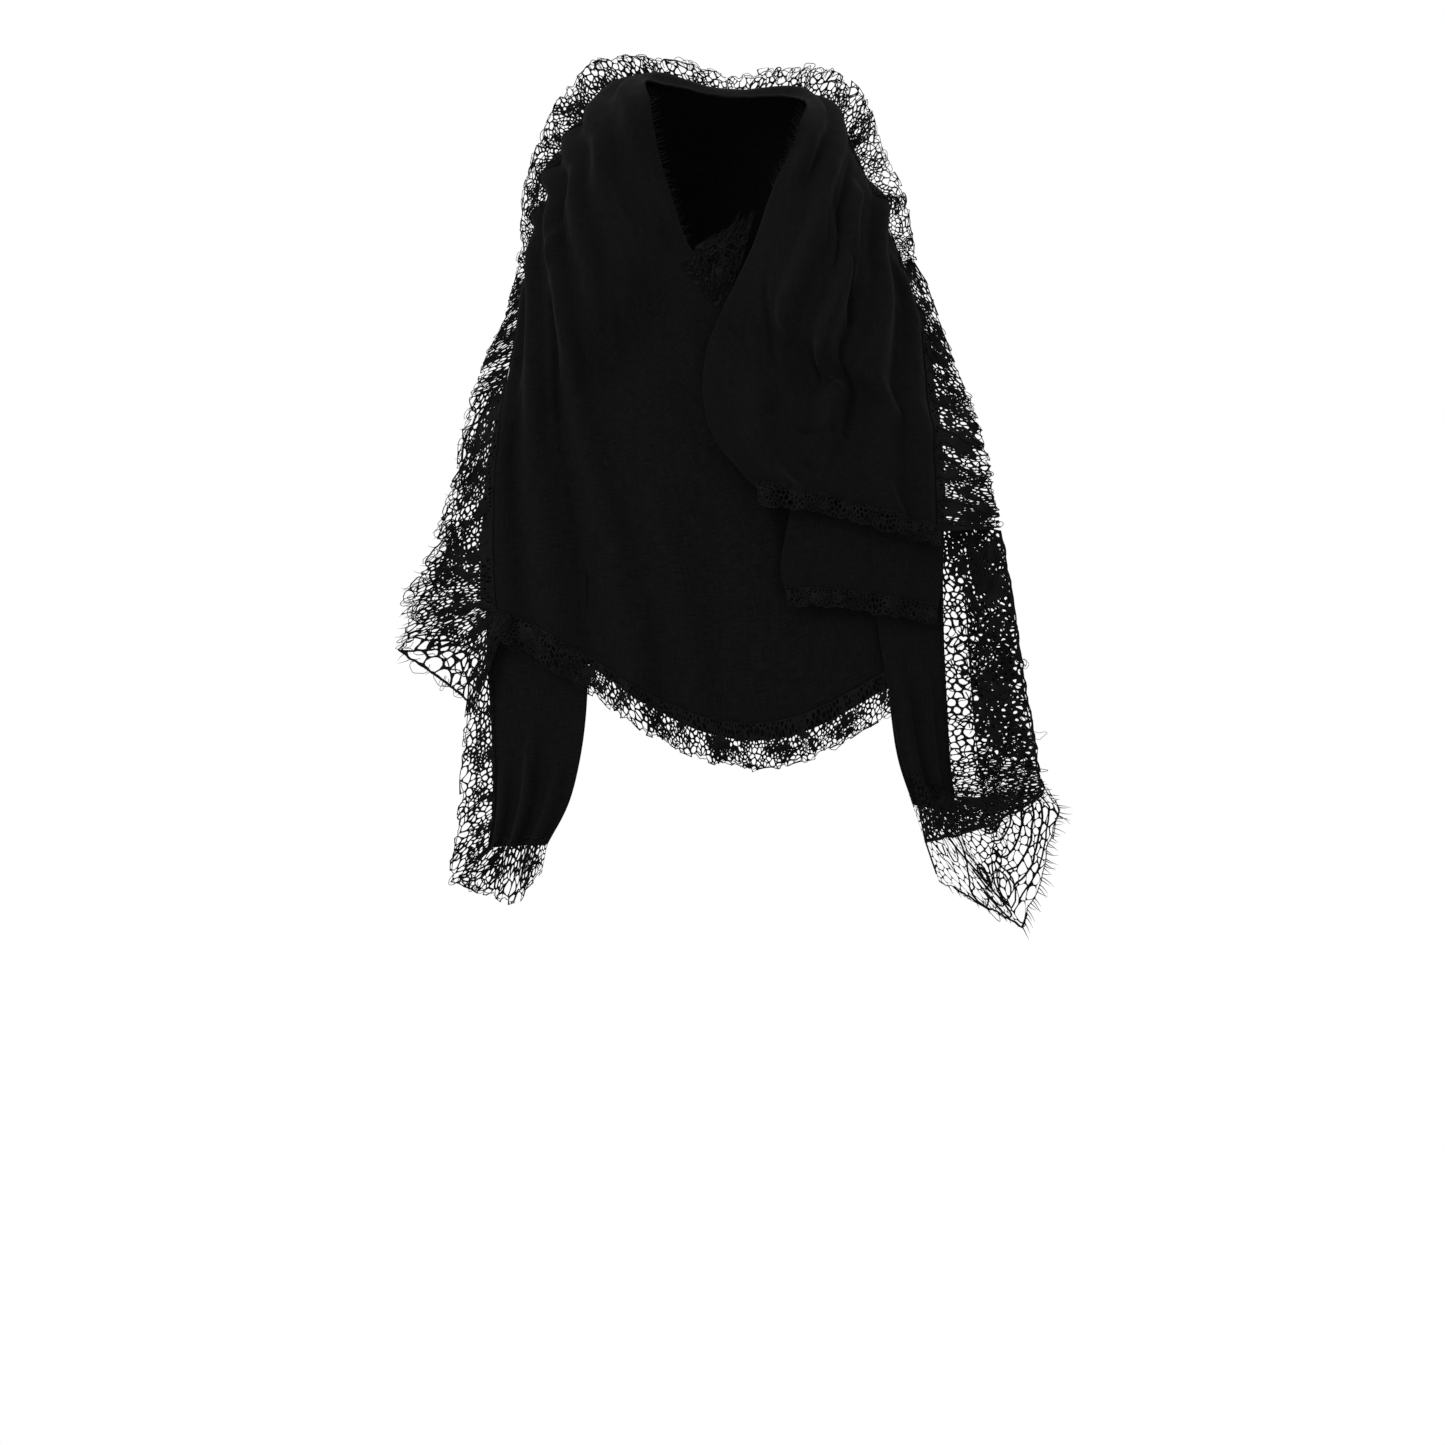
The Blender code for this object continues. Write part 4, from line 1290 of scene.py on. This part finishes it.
# Lace at the throat: fine ground, a corded band and lashes
throatEdge = (
    (0, -17, -63, 5), (1, -11, -65, 9), (2, -3, -66, 14),
    (3, 5, -65, 19), (4, 13, -61, 23), (5, 19, -56, 28),
)


def throatRoot(along, inward=0.0):
    return leftCloth(6.2 + 1.3 * along, 0.05 + inward / body["acrossLength"], 1.15)


throatPlan = lacePlan(
    length=60, width=32, overlap=4.0, near=1.45, far=1.45, cord=0.26, cordFar=0.26, squeeze=1.0,
    wall=0.25, seed=111, ragged=0.05, flutter=1.0, stems=2, stemCord=1.0,
    petals=((18, 9, 8, 2.0, 2), (44, 8, 7, 0.8, 2)),
)
throatLashes = {
    "name": "throatLashes", "node": "throat_lashes", "thread": 0.5, "runs": ((0.02, 0.98, 2.2, 6),),
}
throatBand = {"name": "throatBand", "cords": ((0.66, 1.2), (0.70, 0.8), (0.75, 0.8), (0.80, 1.1))}
makeLace(
    "throatLace", throatPlan, throatRoot, edgeTable(throatEdge), "throat_lace",
    throatLashes, throatBand,
)

# Frayed threads along the inner edges at the neck
neckFringe = {
    "left": {"first": 2.6, "last": 5.9, "count": 46, "long": 8.0, "thread": 0.6, "seed": 7},
    "right": {"first": 2.4, "last": 5.2, "count": 40, "long": 8.0, "thread": 0.6, "seed": 9},
}
for side, surface in (("left", leftCloth), ("right", rightCloth)):
    plan = neckFringe[side]
    dice = random.Random(plan["seed"])
    mesh = bmesh.new()
    for i in range(plan["count"]):
        row = plan["first"] + (plan["last"] - plan["first"]) * (i + dice.random()) / plan["count"]
        start = surface(row, 0.0)
        out = (start - surface(row, 0.04)).normalized()
        along = (surface(row + 0.05, 0.0) - start).normalized()
        lean, lift = dice.uniform(-0.5, 0.5), dice.uniform(-0.3, 0.3)
        up = along.cross(out).normalized()
        reach = plan["long"] * dice.uniform(0.5, 1.1)
        points = []
        for t in (0, 0.3, 0.6, 1.0):
            points.append(start + (out * (t - 0.1) + along * lean * t * t + up * lift * t * t) * reach)
        cordTube(mesh, points, [up] * len(points), plan["thread"] * 0.5, 3, True)
    piece = meshPiece(side + "NeckLashes", mesh, fringeYarn)
    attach(piece, "root")
    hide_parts(side + "_neck_lashes")
print("fringe laid")

# Studio: pale floor, white air, a wide soft light and the camera
studio = {
    "floorHeight": -1.35, "floorWidth": 6.0, "air": (1.0, 1.0, 1.0), "airStrength": 1.0,
    "keyPlace": (-1.6, -2.4, 1.5), "keySize": 1.6, "keyPower": 60.0,
    "cameraAway": 8.0, "frameHeight": 0.9537, "lookAt": (-0.003, -0.117, -0.312),
}
floorLook = {
    "dark": tuple(c * 0.97 for c in (0.86, 0.86, 0.86)),
    "light": (0.86, 0.86, 0.86),
    "shader": {"Roughness": 0.9},
}


def buildStudio():
    bpy.ops.object.select_all(action="DESELECT")
    bpy.ops.mesh.primitive_circle_add(
        vertices=96, radius=studio["floorWidth"] / 2, fill_type="NGON",
        location=(0, 0, studio["floorHeight"]),
    )
    floor = bpy.context.active_object
    floor.name = "studioFloor"
    bpy.ops.object.transform_apply(location=True, rotation=True, scale=True)
    made = newMaterial("paleFloor", floorLook)
    place = addNode(made, "ShaderNodeTexCoord", {}).outputs["Object"]
    cloudy = addNode(made, "ShaderNodeTexNoise", {"Scale": 1.5}, (place, "Vector"))
    colourBetween(made, floorLook, cloudy.outputs["Fac"])
    floor.data.materials.append(made)

    scene = bpy.context.scene
    scene.view_settings.view_transform = "Standard"
    world = scene.world or bpy.data.worlds.new("studioAir")
    scene.world = world
    world.use_nodes = True
    air = world.node_tree.nodes["Background"]
    air.inputs["Color"].default_value = (*studio["air"], 1)
    air.inputs["Strength"].default_value = studio["airStrength"]

    key = bpy.data.lights.new("softKey", "AREA")
    key.energy = studio["keyPower"]
    key.size = studio["keySize"]
    keyLight = bpy.data.objects.new("softKey", key)
    scene.collection.objects.link(keyLight)
    aim = Vector(studio["lookAt"]) - Vector(studio["keyPlace"])
    keyLight.location = studio["keyPlace"]
    keyLight.rotation_euler = aim.to_track_quat("-Z", "Y").to_euler()

    lens = bpy.data.cameras.new("frontCamera")
    view = bpy.data.objects.new("frontCamera", lens)
    scene.collection.objects.link(view)
    lens.sensor_fit = "AUTO"
    lens.angle = 2 * math.atan(studio["frameHeight"] * 0.5 / studio["cameraAway"])
    x, y, z = studio["lookAt"]
    view.location = (x, y - studio["cameraAway"], z)
    view.rotation_euler = (math.pi / 2, 0, 0)
    lens.clip_end = 50
    scene.camera = view


buildStudio()
